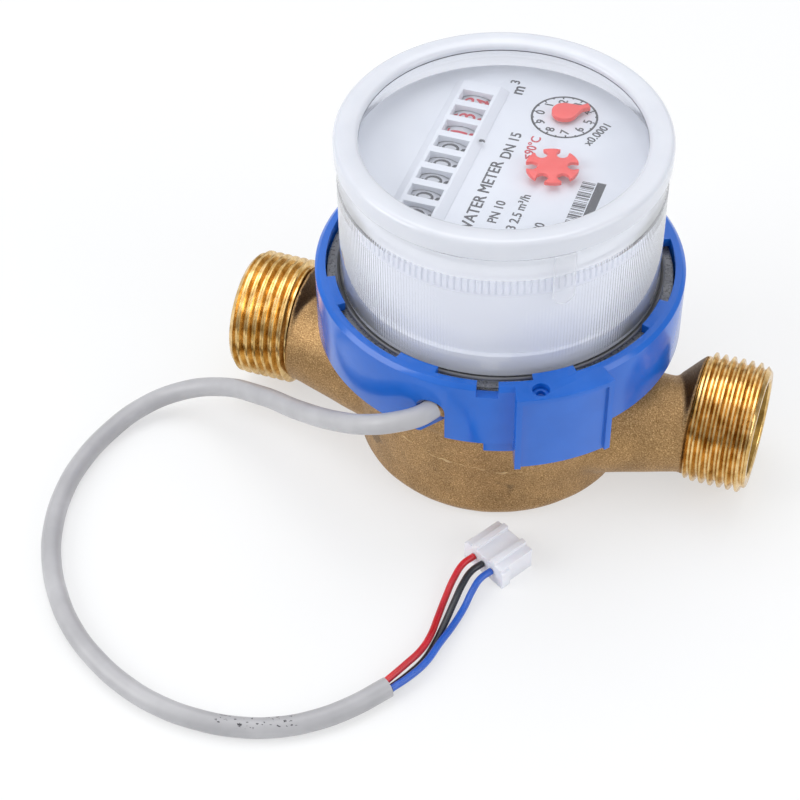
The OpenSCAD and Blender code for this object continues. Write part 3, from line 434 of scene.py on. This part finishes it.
def drawRim(bm, rim, x, radius):  # extrudes an open rim to a new place along the pipe and a new radius
    grown = bmesh.ops.extrude_edge_only(bm, edges=rim)["geom"]
    for v in grown:
        if isinstance(v, bmesh.types.BMVert):
            turn = math.atan2(v.co.z, v.co.y)
            v.co = (x * mm, radius * mm * math.cos(turn), radius * mm * math.sin(turn))
    return [e for e in grown if isinstance(e, bmesh.types.BMEdge) and e.is_boundary]


def openRim(bm, x):
    rims = [e for e in bm.edges if e.is_boundary]
    return [e for e in rims if all(abs(v.co.x / mm - x) < meshSet["merge"] for v in e.verts)]


def threadEnd(name, turn):
    t = threadSet
    turns = math.ceil((t["end"] - t["start"]) / t["pitch"]) + t["spareTurns"]
    middle, swing = (t["crest"] + t["root"]) / 2, (t["crest"] - t["root"]) / 2
    bm = bmesh.new()
    verts = []
    for i in range(t["points"] + 1):  # one pitch of the rounded thread
        wave = max(-1, min(1, -t["flatten"] * math.cos(math.tau * i / t["points"])))
        x = t["start"] - t["pitch"] + t["pitch"] * i / t["points"]
        verts.append(bm.verts.new((x * mm, (middle + swing * wave) * mm, 0)))
    edges = [bm.edges.new(pair) for pair in zip(verts, verts[1:])]
    bmesh.ops.spin(bm, geom=verts + edges, cent=(0, 0, 0), axis=(1, 0, 0), angle=math.tau * turns,
                   steps=t["steps"] * turns, dvec=(t["pitch"] / t["steps"] * mm, 0, 0), use_merge=False)
    bmesh.ops.remove_doubles(bm, verts=bm.verts, dist=t["merge"] * mm)
    for x, side in ((t["start"], -1), (t["end"], 1)):
        bmesh.ops.bisect_plane(bm, geom=bm.verts[:] + bm.edges[:] + bm.faces[:], plane_co=(x * mm, 0, 0),
                               plane_no=(side, 0, 0), clear_outer=True)
    for v in bm.verts:  # chamfer at the mouth, run-out at the shoulder
        x, radius = v.co.x / mm, math.hypot(v.co.y, v.co.z) / mm
        limit = min(t["mouthR"] + (t["end"] - x) * t["mouthSlope"],
                    t["runOutR"] + (x - t["start"]) * t["runOutSlope"])
        if radius > limit:
            v.co.y *= limit / radius
            v.co.z *= limit / radius
    rim = openRim(bm, t["end"])
    rim = drawRim(bm, rim, t["end"], t["bore"] + t["boreLip"])
    rim = drawRim(bm, rim, t["end"] - t["boreLip"], t["bore"])
    drawRim(bm, rim, t["start"], t["bore"])
    bmesh.ops.bridge_loops(bm, edges=openRim(bm, t["start"]))
    bmesh.ops.recalc_face_normals(bm, faces=bm.faces)
    place = Matrix.Translation((0, 0, castSet["axisZ"] * mm)) @ Matrix.Rotation(turn, 4, "Z")
    bmesh.ops.transform(bm, verts=bm.verts, space=Matrix.Identity(4), matrix=place)
    thing = makePiece(name, bm, turnedFinish, "base", sharp=50)
    thing.data.materials.append(boreShadeFinish)
    # inner wall of the bore: the darker brass of the painted shade
    boreLimit = (t["bore"] + t["boreLip"] / 4) * mm
    for face in thing.data.polygons:
        if math.hypot(face.center.y, face.center.z - castSet["axisZ"] * mm) < boreLimit:
            face.material_index = 1
    return thing


castSeam(castMiddle())
threadEnd("outletThread", 0)
threadEnd("inletThread", math.pi)
print("brass body made")


# clamp ring in glossy blue, with moulded edges
ringSet = {"edge": 0.3, "segments": 3, "pinEdge": 0.2}
bluePlastic = moulded("bluePlastic", (0.008, 0.138, 0.62), (0.005, 0.12, 0.56), (0.12, 0.2),
                      grainScale=2200, depth=0.003)
softEdges("clampRing", "clamp_ring", bluePlastic, "base", ringSet["edge"],
          ringSet["segments"])
softEdges("lockPin", "lock_pin", bluePlastic, "base", ringSet["pinEdge"])
print("clamp ring made")


# hood: clear cup, smooth outside, with fine ribs on its inner wall and one tongue under the bezel
hoodSet = {"outer": 31.3, "band": 31.05, "inner": 29.7, "stepR": 30.0, "footR": 34.0, "footLow": 41.8,
           "footTop": 43.3, "shoulder": 72.45, "windowLow": 73.7, "windowTop": 75.2,
           "corner": 0.2, "innerCorner": 0.5, "bandLow": 66.9, "bandBlend": (0.5, 0.05, -0.15),
           "bandLip": 0.03, "bead": 0.13, "beadRise": (2.1, 1.7, 1.3, 1.05), "steps": 1200, "parts": 10,
           "ribs": 300, "ribLow": 48.2, "ribHigh": 63.2, "ribDepth": 0.06, "ribRunIn": 1.5, "ribRunOut": 0.3,
           "near": 0.01, "nearBand": 0.05}
tongueSet = {"turn": -52, "half": 2.1, "tip": 61.0, "top": 72.7, "back": 31.33, "thick": 0.42, "soft": 0.14,
             "segments": 40, "softSteps": 3, "facing": 0.95}
# white teeth on the drum inside the hood, and the white liner of its foot
toothSet = {"teeth": 150, "drum": 29.02, "low": 29.2, "high": 29.5, "from": 63.4, "to": 66.8,
            "corners": 6, "parts": 10, "start": 0.1, "stop": 0.7, "near": 0.01}
linerSet = {"inner": 29.02, "outer": 29.6, "from": 41.9, "to": 48.0, "corner": 0.3, "steps": 160}
clearSet = {"tint": (0.96, 0.97, 1.0), "ior": 1.46, "cloud": 140, "lampTint": (0.97, 0.975, 0.985)}


def clearPlastic(name, rough, milk):
    finish, tree, shader = blankFinish(name)
    tree.links.new(spread(tree, grain(tree, clearSet["cloud"], 3), *rough), shader.inputs["Roughness"])
    shader.inputs["Base Color"].default_value = (*clearSet["tint"], 1)
    shader.inputs["Transmission Weight"].default_value = 1.0 - milk
    shader.inputs["IOR"].default_value = clearSet["ior"]
    path = addNode(tree, "ShaderNodeLightPath")  # lamps and bounced light pass straight through
    lampsPass = addNode(tree, "ShaderNodeMath", operation="MAXIMUM")
    tree.links.new(path.outputs["Is Shadow Ray"], lampsPass.inputs[0])
    tree.links.new(path.outputs["Is Diffuse Ray"], lampsPass.inputs[1])
    through = addNode(tree, "ShaderNodeBsdfTransparent", {"Color": (*clearSet["lampTint"], 1)})
    blend = addNode(tree, "ShaderNodeMixShader")
    tree.links.new(lampsPass.outputs["Value"], blend.inputs["Fac"])
    tree.links.new(shader.outputs["BSDF"], blend.inputs[1])
    tree.links.new(through.outputs["BSDF"], blend.inputs[2])
    tree.links.new(blend.outputs["Shader"], tree.nodes["Material Output"].inputs["Surface"])
    return finish


def hoodOutline():
    h = hoodSet
    outer, band, inner, corner = h["outer"], h["band"], h["inner"], h["corner"]
    stepR, footR, footTop, shoulder = h["stepR"], h["footR"], h["footTop"], h["shoulder"]
    blend = [h["bandLow"] + rise for rise in h["bandBlend"]]
    bead = [footTop + rise for rise in h["beadRise"]]
    return [
        (0, h["windowTop"]), (stepR - corner, h["windowTop"]), (stepR, h["windowTop"] - corner),
        (stepR, shoulder), (band - corner, shoulder), (band, shoulder - corner),
        (band, blend[0]), (outer - h["bandLip"], blend[1]), (outer, blend[2]),
        (outer, bead[0]), (outer + h["bead"], bead[1]), (outer + h["bead"], bead[2]), (outer, bead[3]),
        (outer, footTop), (footR - corner, footTop), (footR, footTop - corner), (footR, h["footLow"]),
        (inner, h["footLow"]), (inner, h["ribLow"] - h["ribRunIn"]), (inner, h["ribLow"]),
        (inner, h["ribHigh"]), (inner, h["ribHigh"] + h["ribRunOut"]),
        (inner, h["windowLow"] - h["innerCorner"]), (inner - h["innerCorner"], h["windowLow"]),
        (0, h["windowLow"])]


def pushOut(v, grow):  # moves a corner away from the upright axis
    radius = math.hypot(v.co.x, v.co.y)
    v.co.x *= (radius + grow * mm) / radius
    v.co.y *= (radius + grow * mm) / radius


def ribbedHood(clear, ribbed, band):
    h = hoodSet
    bm = lathe(hoodOutline(), h["steps"], h["parts"])
    for v in bm.verts:
        radius, z = math.hypot(v.co.x, v.co.y) / mm, v.co.z / mm
        if abs(radius - h["inner"]) < h["near"] and h["ribLow"] - h["near"] < z < h["ribHigh"] + h["near"]:
            pushOut(v, h["ribDepth"] * (0.5 + 0.5 * math.cos(h["ribs"] * math.atan2(v.co.y, v.co.x))))
    thing = makePiece("clearHood", bm, clear, "register", ("hood",), sharp=40)
    thing.data.materials.append(ribbed)
    thing.data.materials.append(band)
    for face in thing.data.polygons:
        radius, z = math.hypot(face.center.x, face.center.y) / mm, face.center.z / mm
        if z < h["ribHigh"] and radius < h["inner"] + h["corner"]:
            face.material_index = 1
        elif abs(radius - h["band"]) < h["nearBand"] and h["bandLow"] < z < h["shoulder"]:
            face.material_index = 2
    return thing


def thinPlastic(name, rough, share):  # clear plastic too thin to bend light
    finish = moulded(name, (0.90, 0.91, 0.95), (0.86, 0.87, 0.92), rough,
                     grainScale=900, depth=0.01, coat=0.4)
    finish.node_tree.nodes["Principled BSDF"].inputs["Alpha"].default_value = share
    return finish


def hoodTongue(face, edge):  # flat tongue with a round tip, standing on the wall
    t = tongueSet
    bm = bmesh.new()
    verts = bmesh.ops.create_circle(bm, cap_ends=True, segments=t["segments"], radius=t["half"])["verts"]
    for v in verts:
        if v.co.y > meshSet["merge"]:
            v.co.y = t["top"] - t["tip"] - t["half"]
    bmesh.ops.remove_doubles(bm, verts=bm.verts, dist=meshSet["merge"])
    lifted = bmesh.ops.extrude_face_region(bm, geom=bm.faces[:])["geom"]
    front = [v for v in lifted if isinstance(v, bmesh.types.BMVert)]
    bmesh.ops.translate(bm, verts=front, vec=(0, 0, t["thick"]))
    rim = [e for e in bm.edges if all(v in front for v in e.verts)]
    bmesh.ops.recalc_face_normals(bm, faces=bm.faces)
    bmesh.ops.bevel(bm, geom=rim, offset=t["soft"], offset_type="OFFSET", affect="EDGES",
                    segments=t["softSteps"], profile=0.5, material=-1, clamp_overlap=True)
    a = math.radians(t["turn"])
    place = Matrix(((-math.sin(a), 0, math.cos(a), t["back"] * math.cos(a)),
                    (math.cos(a), 0, math.sin(a), t["back"] * math.sin(a)),
                    (0, 1, 0, t["tip"] + t["half"]), (0, 0, 0, 1)))
    place = Matrix.Diagonal((mm, mm, mm, 1)) @ place
    bmesh.ops.transform(bm, verts=bm.verts, space=Matrix.Identity(4), matrix=place)
    thing = makePiece("hoodTongue", bm, face, "register", sharp=30)
    thing.data.materials.append(edge)
    for flat in thing.data.polygons:
        if abs(flat.normal.x * math.cos(a) + flat.normal.y * math.sin(a)) < t["facing"]:
            flat.material_index = 1
    return thing


def toothBand(finish):
    t = toothSet
    bm = lathe([(t["drum"], t["from"]), (t["low"], t["from"]), (t["low"], t["to"]), (t["drum"], t["to"]),
                (t["drum"], t["from"])], t["teeth"] * t["corners"], t["parts"])
    for v in bm.verts:
        if math.hypot(v.co.x, v.co.y) > (t["low"] - t["near"]) * mm:
            phase = (math.atan2(v.co.y, v.co.x) * t["teeth"] / math.tau) % 1
            if t["start"] < phase < t["stop"]:
                pushOut(v, t["high"] - t["low"])
    return makePiece("toothBand", bm, finish, "register", sharp=30)


def footLiner(finish):
    f = linerSet
    outline = [(f["inner"], f["from"]), (f["outer"], f["from"]), (f["outer"], f["to"] - f["corner"]),
               (f["outer"] - f["corner"], f["to"]), (f["inner"], f["to"]), (f["inner"], f["from"])]
    return makePiece("footLiner", lathe(outline, f["steps"]), finish, "register")


clearFinish = clearPlastic("clearWindow", (0.01, 0.04), 0.0)
ribbedFinish = clearPlastic("ribbedWall", (0.12, 0.22), 0.18)
innerWhite = moulded("innerWhite", (0.86, 0.872, 0.93), (0.82, 0.833, 0.895), (0.4, 0.55))
ribbedHood(clearFinish, ribbedFinish, clearPlastic("clearBand", (0.05, 0.1), 0.4))
hoodTongue(thinPlastic("tongueFace", (0.08, 0.16), 0.14), thinPlastic("tongueEdge", (0.1, 0.2), 0.6))
toothBand(innerWhite)
footLiner(innerWhite)
print("hood made")


# bezel: white snap ring with a rolled outer edge
bezelSet = {"outer": 31.72, "inner": 26.98, "fit": 30.05, "low": 72.8, "seat": 75.3, "top": 76.8,
            "edge": 0.15, "roll": 1.2, "arc": 6, "innerRoll": [(0.8, 0.1), (0.2, 0.5), (0, 0.9)],
            "steps": 128}
shadowRingSet = {  # painted shadow: thin dark rings for the shade in the gap under the bezel and where it meets the window; inner and outer radius, bottom and top
    "bezelShadowRing": (bezelSet["outer"] - 0.62, bezelSet["outer"] - 0.48, bezelSet["low"] - 0.16, bezelSet["low"]),
    "windowShadowRing": (bezelSet["inner"] - 0.02, bezelSet["inner"] + 0.3, bezelSet["seat"] - 0.08,
                  bezelSet["seat"] + 0.12),
    "steps": 160,
}


def bezelRing(finish):
    b = bezelSet
    outline = [(b["inner"], b["seat"]), (b["fit"], b["seat"]), (b["fit"], b["low"]),
               (b["outer"] - b["edge"], b["low"]), (b["outer"], b["low"] + b["edge"])]
    for i in range(b["arc"] + 1):
        turn = math.pi / 2 * i / b["arc"]
        outline.append((b["outer"] - b["roll"] + b["roll"] * math.cos(turn),
                        b["top"] - b["roll"] + b["roll"] * math.sin(turn)))
    outline += [(b["inner"] + across, b["top"] - down) for across, down in b["innerRoll"]]
    outline.append((b["inner"], b["seat"]))
    return makePiece("bezel", lathe(outline, b["steps"]), finish, "register", ("hood_bezel",))


def bezelGaps(finish):  # painted shadow: thin dark lines in the gap under the bezel and where it meets the window
    for name in ("bezelShadowRing", "windowShadowRing"):
        low, high, bottom, top = shadowRingSet[name]
        outline = [(low, bottom), (high, bottom), (high, top), (low, top), (low, bottom)]
        makePiece(name, lathe(outline, shadowRingSet["steps"]), finish, "register")


bezelWhite = moulded("bezelWhite", (0.71, 0.73, 0.79), (0.67, 0.69, 0.755), (0.16, 0.26),
                     grainScale=900, depth=0.01, coat=0.25, softness=0.05)
# dark grey of the painted shadow rings
shadowRingGrey = moulded("shadowRingGrey", (0.10, 0.10, 0.12), (0.06, 0.06, 0.075), (0.4, 0.55))
bezelRing(bezelWhite)
bezelGaps(shadowRingGrey)
print("bezel made")


# dial and hands with soft edges, and plain finishes for the CAD pieces that stay as they are
sealSet = {"dustFrom": 31.98, "dustTo": 32.06, "crown": (0.008, 0.008, 0.009), "dust": (0.20, 0.20, 0.21)}
dialSet = {"plateEdge": 0.12, "starEdge": 0.12, "handEdge": 0.14}


def wornFlank(finish):  # the hood's seal is dusty grey outside its crown
    tree = finish.node_tree
    flat = addNode(tree, "ShaderNodeVectorMath", operation="MULTIPLY")
    flat.inputs[1].default_value = (1, 1, 0)
    tree.links.new(addNode(tree, "ShaderNodeTexCoord").outputs["Object"], flat.inputs[0])
    away = addNode(tree, "ShaderNodeVectorMath", operation="LENGTH")
    tree.links.new(flat.outputs["Vector"], away.inputs[0])
    dust = spread(tree, away.outputs["Value"], 0, 1, sealSet["dustFrom"] * mm, sealSet["dustTo"] * mm)
    shades = ramp(tree, dust, [(0.0, sealSet["crown"]), (1.0, sealSet["dust"])])
    tree.links.new(shades, tree.nodes["Principled BSDF"].inputs["Base Color"])


drumWhite = moulded("drumWhite", (0.82, 0.832, 0.89), (0.78, 0.792, 0.85), (0.4, 0.55))
dialWhite = moulded("dialWhite", (0.80, 0.82, 0.865), (0.765, 0.785, 0.835), (0.42, 0.56),
                    grainScale=2600, depth=0.01)
coralPlastic = moulded("coralPlastic", (0.95, 0.088, 0.075), (0.88, 0.07, 0.06), (0.3, 0.42),
                       grainScale=2000, depth=0.012, coat=0.15, softness=0.2)
wheelWhite = moulded("wheelWhite", (0.58, 0.59, 0.63), (0.52, 0.53, 0.57), (0.3, 0.45))
sealRubber = moulded("sealRubber", (0.012, 0.012, 0.014), (0.006, 0.006, 0.007), (0.3, 0.5), grainScale=2400)
shieldSteel = moulded("shieldSteel", (0.66, 0.66, 0.67), (0.46, 0.46, 0.47), (0.2, 0.4),
                      grainScale=1600, metal=0.55)
brightSteel = moulded("brightSteel", (0.62, 0.62, 0.64), (0.52, 0.52, 0.54), (0.2, 0.35),
                      grainScale=1500, depth=0.01, metal=1.0)
greyPlastic = moulded("greyPlastic", (0.45, 0.46, 0.48), (0.40, 0.41, 0.43), (0.4, 0.55))
boardGreen = moulded("boardGreen", (0.03, 0.16, 0.06), (0.02, 0.11, 0.04), (0.3, 0.45))
magnetBlack = moulded("magnetBlack", (0.05, 0.05, 0.055), (0.03, 0.03, 0.035), (0.45, 0.6))
wornFlank(sealRubber)
softEdges("dialPlate", "dial_plate", dialWhite, "register", dialSet["plateEdge"])
softEdges("starWheel", "star_wheel", coralPlastic, "star", dialSet["starEdge"])
softEdges("hand", "pointer", coralPlastic, "pointer", dialSet["handEdge"])
slotFinish = {
    "white_plastic": drumWhite, "drum_white": drumWhite, "wheel_white": wheelWhite,
    "grey_plastic": greyPlastic, "bright_steel": brightSteel, "dark_steel": shieldSteel,
    "magnet_black": magnetBlack, "black_rubber": sealRubber, "board_green": boardGreen,
}
for part in frame["record"]["subparts"]:
    if part["material_slot"] in slotFinish:
        mesh = frame["nodes"][part["node"]].data
        mesh.materials.clear()
        mesh.materials.append(slotFinish[part["material_slot"]])
print("CAD pieces finished")


# print on the dial: words read along +Y, with their tops towards -X
printSet = {
    "level": 69.5, "thick": 0.03, "bold": 0.03,
    "black": [  # words, letter height, place, direction in degrees
        ("m", 2.6, (-3.4, 20.9), 90), ("3", 1.9, (-4.6, 23.2), 90), ("x0.0001", 1.75, (14.9, 12.6), 72),
        ("DN 15", 2.1, (0.4, 4.1), 90), ("WATER METER", 2.3, (-0.4, -11.8), 90),
        ("Q3 2.5 m\u00b3/h", 1.8, (7.4, -14.8), 90), ("R80", 1.8, (12.1, -17.4), 90),
        ("PN 10", 1.8, (3.6, -15.0), 90)],
    "red": [("\u226490\u00b0C", 1.9, (4.3, 4.6), 90)],
    "comma": (",", 3.4, (-6.2, 2.3), 90, 70.7),  # on the raised bar, with a level of its own
    "dialAt": (7.44, 15.62), "dialR": 6.45, "dialSteps": 96, "ringW": 0.42, "ticks": 20, "tick": 0.9,
    "tickW": 0.3, "shortTick": 0.7, "numerals": 10, "numeralR": 4.7, "numeralH": 1.75,
    "barsAt": (16.0, -14.7), "barsLong": 13.5, "barTall": 2.5, "stripTall": 1.7, "stripGap": 0.2,
    "barWidths": [3, 1, 2, 1, 1, 2, 3, 1, 1, 2, 1, 3, 2, 1, 1, 1, 2, 3, 1, 2, 1, 1, 3, 1, 2, 1],
}
digitSet = {"axisX": -10.1, "axisZ": 63.6, "radius": 6.0, "firstY": 14.75, "spacing": 4.98, "tall": 3.55,
            "wide": 1.05, "aside": 0.05, "thick": 0.03, "bold": 0.012, "slices": 9, "perTurn": 10,
            "shown": [4.5, 3, 1, 0, 0, 0, 0, 0], "redWheels": 3}
# height of capitals as a share of the type size, and how the four strikes of a letter are shifted
letterSet = {"capShare": 0.72, "smooth": 3, "upShare": 0.6, "lift": 0.002,
             "strikes": ((-1, -1), (1, -1), (-1, 1), (1, 1))}


def addWords(bm, words, height, thick, bold):  # letters as thin solids on the flat, and their new corners
    s = letterSet
    curve = bpy.data.curves.new("words", "FONT")
    curve.body = words
    curve.align_x, curve.align_y = "CENTER", "CENTER"
    curve.size = height / s["capShare"]
    curve.extrude = thick / 2
    curve.resolution_u = s["smooth"]
    thing = bpy.data.objects.new("words", curve)
    mesh = bpy.data.meshes.new_from_object(thing)
    before = len(bm.verts)
    for strike, (across, up) in enumerate(s["strikes"]):  # struck four times for bolder letters
        first = len(bm.verts)
        bm.from_mesh(mesh)
        bm.verts.ensure_lookup_table()
        shift = (across * bold * height, up * s["upShare"] * bold * height, strike * s["lift"])
        bmesh.ops.translate(bm, verts=bm.verts[first:], vec=shift)
    bpy.data.objects.remove(thing)
    bpy.data.curves.remove(curve)
    bpy.data.meshes.remove(mesh)
    return bm.verts[before:]


def layWords(bm, words, height, place, turn, level=printSet["level"]):
    verts = addWords(bm, words, height, printSet["thick"], printSet["bold"])
    bmesh.ops.rotate(bm, verts=verts, cent=(0, 0, 0), matrix=Matrix.Rotation(math.radians(turn), 3, "Z"))
    bmesh.ops.translate(bm, verts=verts, vec=(place[0], place[1], level))


def layBar(bm, place, size, turn=0.0):
    matrix = Matrix.Translation((*place, printSet["level"])) @ Matrix.Rotation(turn, 4, "Z")
    bmesh.ops.create_cube(bm, size=1.0, matrix=matrix @ Matrix.Diagonal((*size, printSet["thick"], 1)))


def onDial(radius, turn):  # a place on the small dial, clockwise from its top
    x, y = printSet["dialAt"]
    return x - radius * math.cos(turn), y + radius * math.sin(turn)


def smallDial(bm):
    p = printSet
    made = bmesh.ops.create_circle(bm, segments=p["dialSteps"], radius=p["dialR"])["verts"]
    rim = list(dict.fromkeys(e for v in made for e in v.link_edges))
    grown = bmesh.ops.extrude_edge_only(bm, edges=rim)["geom"]
    inner = [v for v in grown if isinstance(v, bmesh.types.BMVert)]
    bmesh.ops.scale(bm, verts=inner, vec=(1 - p["ringW"] / p["dialR"],) * 2 + (1,))
    bmesh.ops.translate(bm, verts=made + inner, vec=(*p["dialAt"], p["level"] + p["thick"] / 2))
    for i in range(p["ticks"]):
        turn = math.tau * i / p["ticks"]
        tick = p["tick"] * (1 if i % 2 == 0 else p["shortTick"])
        layBar(bm, onDial(p["dialR"] - tick / 2, turn), (tick, p["tickW"]), -turn)
    for i in range(p["numerals"]):
        layWords(bm, str(i), p["numeralH"], onDial(p["numeralR"], math.tau * i / p["numerals"]), 90)


def barLabel(bm):
    p = printSet
    step = p["barsLong"] / (2 * sum(p["barWidths"]))
    along = p["barsAt"][1]
    for i, width in enumerate(p["barWidths"]):
        place = (p["barsAt"][0] + p["barTall"] / 2, along + width * step / 2)
        layBar(bm, place, (p["barTall"], width * step))
        along += step * (width + p["barWidths"][-1 - i])
    stripX = p["barsAt"][0] + p["barTall"] + p["stripTall"] / 2 + p["stripGap"]
    layBar(bm, (stripX, p["barsAt"][1] + p["barsLong"] / 2), (p["stripTall"], p["barsLong"]))


def scaleToMetres(bm):
    bmesh.ops.scale(bm, verts=bm.verts, vec=(mm, mm, mm))
    return bm


def dialPrint(blackInk, redInk):
    bm = bmesh.new()
    for words in printSet["black"]:
        layWords(bm, *words)
    layWords(bm, *printSet["comma"])
    smallDial(bm)
    barLabel(bm)
    makePiece("dialPrint", scaleToMetres(bm), blackInk, "register")
    bm = bmesh.new()
    for words in printSet["red"]:
        layWords(bm, *words)
    makePiece("redPrint", scaleToMetres(bm), redInk, "register")


def wheelDigits(wheel, ink):  # ten digits bent round a number wheel
    d = digitSet
    bm = bmesh.new()
    half = d["slices"] // 2
    for digit in range(d["perTurn"]):
        one = bmesh.new()
        addWords(one, str(digit), d["tall"], d["thick"], d["bold"])
        for row in range(-half, half + 1):
            bmesh.ops.bisect_plane(one, geom=one.verts[:] + one.edges[:] + one.faces[:],
                                   plane_co=(0, row * d["tall"] / d["slices"], 0), plane_no=(0, 1, 0))
        for v in one.verts:
            turn = math.tau / d["perTurn"] * (digit - d["shown"][wheel]) + v.co.y / d["radius"]
            radius = d["radius"] + v.co.z
            y = d["firstY"] - wheel * d["spacing"] + d["aside"] + v.co.x * d["wide"]
            v.co = (d["axisX"] - radius * math.sin(turn), y, d["axisZ"] + radius * math.cos(turn))
        mesh = bpy.data.meshes.new("digit")
        one.to_mesh(mesh)
        one.free()
        bm.from_mesh(mesh)
        bpy.data.meshes.remove(mesh)
    number = str(wheel + 1)
    return makePiece("digits" + number, scaleToMetres(bm), ink, "wheel_" + number)


blackInk = moulded("blackInk", (0.075, 0.078, 0.09), (0.05, 0.052, 0.062), (0.5, 0.65))
redInk = moulded("redInk", (0.62, 0.03, 0.06), (0.5, 0.02, 0.04), (0.5, 0.65))
dialPrint(blackInk, redInk)
for wheel in range(len(digitSet["shown"])):
    wheelDigits(wheel, redInk if wheel < digitSet["redWheels"] else blackInk)
print("dial printed")


# plain pale floor that stays white behind the object and keeps its shadow
stageSet = {"floorSize": 4000, "floorColour": (0.92, 0.925, 0.93), "floorRough": 0.9, "glow": 0.55,
            "worldColour": (0.96, 0.98, 1.0), "worldLight": 0.62}
roomSet = {  # what mirrors see of the room: stops by height, and stops from its left to its right
    "from": -0.2, "to": 1.0, "right": (0.8, -0.6, 0),
    "heights": [(0.0, (0.55, 0.55, 0.57)), (0.25, (0.42, 0.42, 0.45)), (0.55, (0.95, 0.96, 1.0)),
                (0.8, (1.15, 1.15, 1.17))],
    "sides": [(0.0, (1.1, 1.1, 1.1)), (0.5, (1, 1, 1)), (0.75, (0.5, 0.5, 0.52)), (0.95, (0.85, 0.85, 0.87))],
}


def backdropShare(tree):  # 1 where the camera, a mirror or glass looks at the backdrop
    path = addNode(tree, "ShaderNodeLightPath")
    first = addNode(tree, "ShaderNodeMath", operation="MAXIMUM")
    second = addNode(tree, "ShaderNodeMath", operation="MAXIMUM")
    tree.links.new(path.outputs["Is Camera Ray"], first.inputs[0])
    tree.links.new(path.outputs["Is Glossy Ray"], first.inputs[1])
    tree.links.new(first.outputs["Value"], second.inputs[0])
    tree.links.new(path.outputs["Is Transmission Ray"], second.inputs[1])
    return second.outputs["Value"]


def paleFloor():
    bm = bmesh.new()
    bmesh.ops.create_grid(bm, x_segments=1, y_segments=1, size=stageSet["floorSize"] / 2 * mm)
    mesh = bpy.data.meshes.new("paleFloor")
    bm.to_mesh(mesh)
    bm.free()
    floor = bpy.data.objects.new("paleFloor", mesh)
    scene.collection.objects.link(floor)
    finish, tree, shader = blankFinish("paleFloor")
    shader.inputs["Base Color"].default_value = (*stageSet["floorColour"], 1)
    shader.inputs["Roughness"].default_value = stageSet["floorRough"]
    shader.inputs["Specular IOR Level"].default_value = 0.0
    white = addNode(tree, "ShaderNodeEmission", {"Strength": 1.0})
    share = addNode(tree, "ShaderNodeMath", operation="MULTIPLY")
    share.inputs[1].default_value = stageSet["glow"]
    tree.links.new(backdropShare(tree), share.inputs[0])
    blend = addNode(tree, "ShaderNodeMixShader")
    tree.links.new(share.outputs["Value"], blend.inputs["Fac"])
    tree.links.new(shader.outputs["BSDF"], blend.inputs[1])
    tree.links.new(white.outputs["Emission"], blend.inputs[2])
    tree.links.new(blend.outputs["Shader"], tree.nodes["Material Output"].inputs["Surface"])
    mesh.materials.append(finish)


def roomSides(tree):  # bright above, greyer low down and on the right
    room = addNode(tree, "ShaderNodeTexCoord").outputs["Generated"]
    where = addNode(tree, "ShaderNodeSeparateXYZ")
    tree.links.new(room, where.inputs[0])
    side = addNode(tree, "ShaderNodeVectorMath", operation="DOT_PRODUCT")
    side.inputs[1].default_value = roomSet["right"]
    tree.links.new(room, side.inputs[0])
    height = spread(tree, where.outputs["Z"], 0, 1, roomSet["from"], roomSet["to"])
    base = ramp(tree, height, roomSet["heights"])
    return tinted(tree, base, spread(tree, side.outputs["Value"], 0, 1, -1, 1), roomSet["sides"])


def studioWorld():
    world = bpy.data.worlds.new("studio")
    world.use_nodes = True
    scene.world = world
    tree = world.node_tree
    light = tree.nodes["Background"]
    light.inputs["Color"].default_value = (*stageSet["worldColour"], 1)
    light.inputs["Strength"].default_value = stageSet["worldLight"]
    white = addNode(tree, "ShaderNodeBackground", {"Color": (1, 1, 1, 1), "Strength": 1.0})
    mirrored = addNode(tree, "ShaderNodeBackground", {"Strength": 1.0})
    tree.links.new(roomSides(tree), mirrored.inputs["Color"])
    path = addNode(tree, "ShaderNodeLightPath")
    seen = addNode(tree, "ShaderNodeMath", operation="MAXIMUM")
    tree.links.new(path.outputs["Is Camera Ray"], seen.inputs[0])
    tree.links.new(path.outputs["Is Transmission Ray"], seen.inputs[1])
    first, second = addNode(tree, "ShaderNodeMixShader"), addNode(tree, "ShaderNodeMixShader")
    tree.links.new(path.outputs["Is Glossy Ray"], first.inputs["Fac"])
    tree.links.new(light.outputs["Background"], first.inputs[1])
    tree.links.new(mirrored.outputs["Background"], first.inputs[2])
    tree.links.new(seen.outputs["Value"], second.inputs["Fac"])
    tree.links.new(first.outputs["Shader"], second.inputs[1])
    tree.links.new(white.outputs["Background"], second.inputs[2])
    tree.links.new(second.outputs["Shader"], tree.nodes["World Output"].inputs["Surface"])


lampSet = {  # soft boxes: place, size and power, all aimed at the middle of the meter
    "aim": (0, 0, 35),
    "boxes": [
        {"name": "topBox", "place": (-100, 150, 700), "size": 500, "power": 1.5},
        {"name": "leftBox", "place": (-480, -300, 380), "size": 400, "power": 1.6},
        {"name": "rightBox", "place": (520, -120, 300), "size": 350, "power": 0.9}],
}


def softBoxes():
    aim = Vector(lampSet["aim"]) * mm
    for box in lampSet["boxes"]:
        lamp = bpy.data.lights.new(box["name"], "AREA")
        lamp.shape = "SQUARE"
        lamp.size = box["size"] * mm
        lamp.energy = box["power"]
        thing = bpy.data.objects.new(box["name"], lamp)
        thing.location = Vector(box["place"]) * mm
        thing.rotation_euler = (aim - thing.location).to_track_quat("-Z", "Y").to_euler()
        scene.collection.objects.link(thing)


paleFloor()
studioWorld()
softBoxes()
print("stage and lamps set")
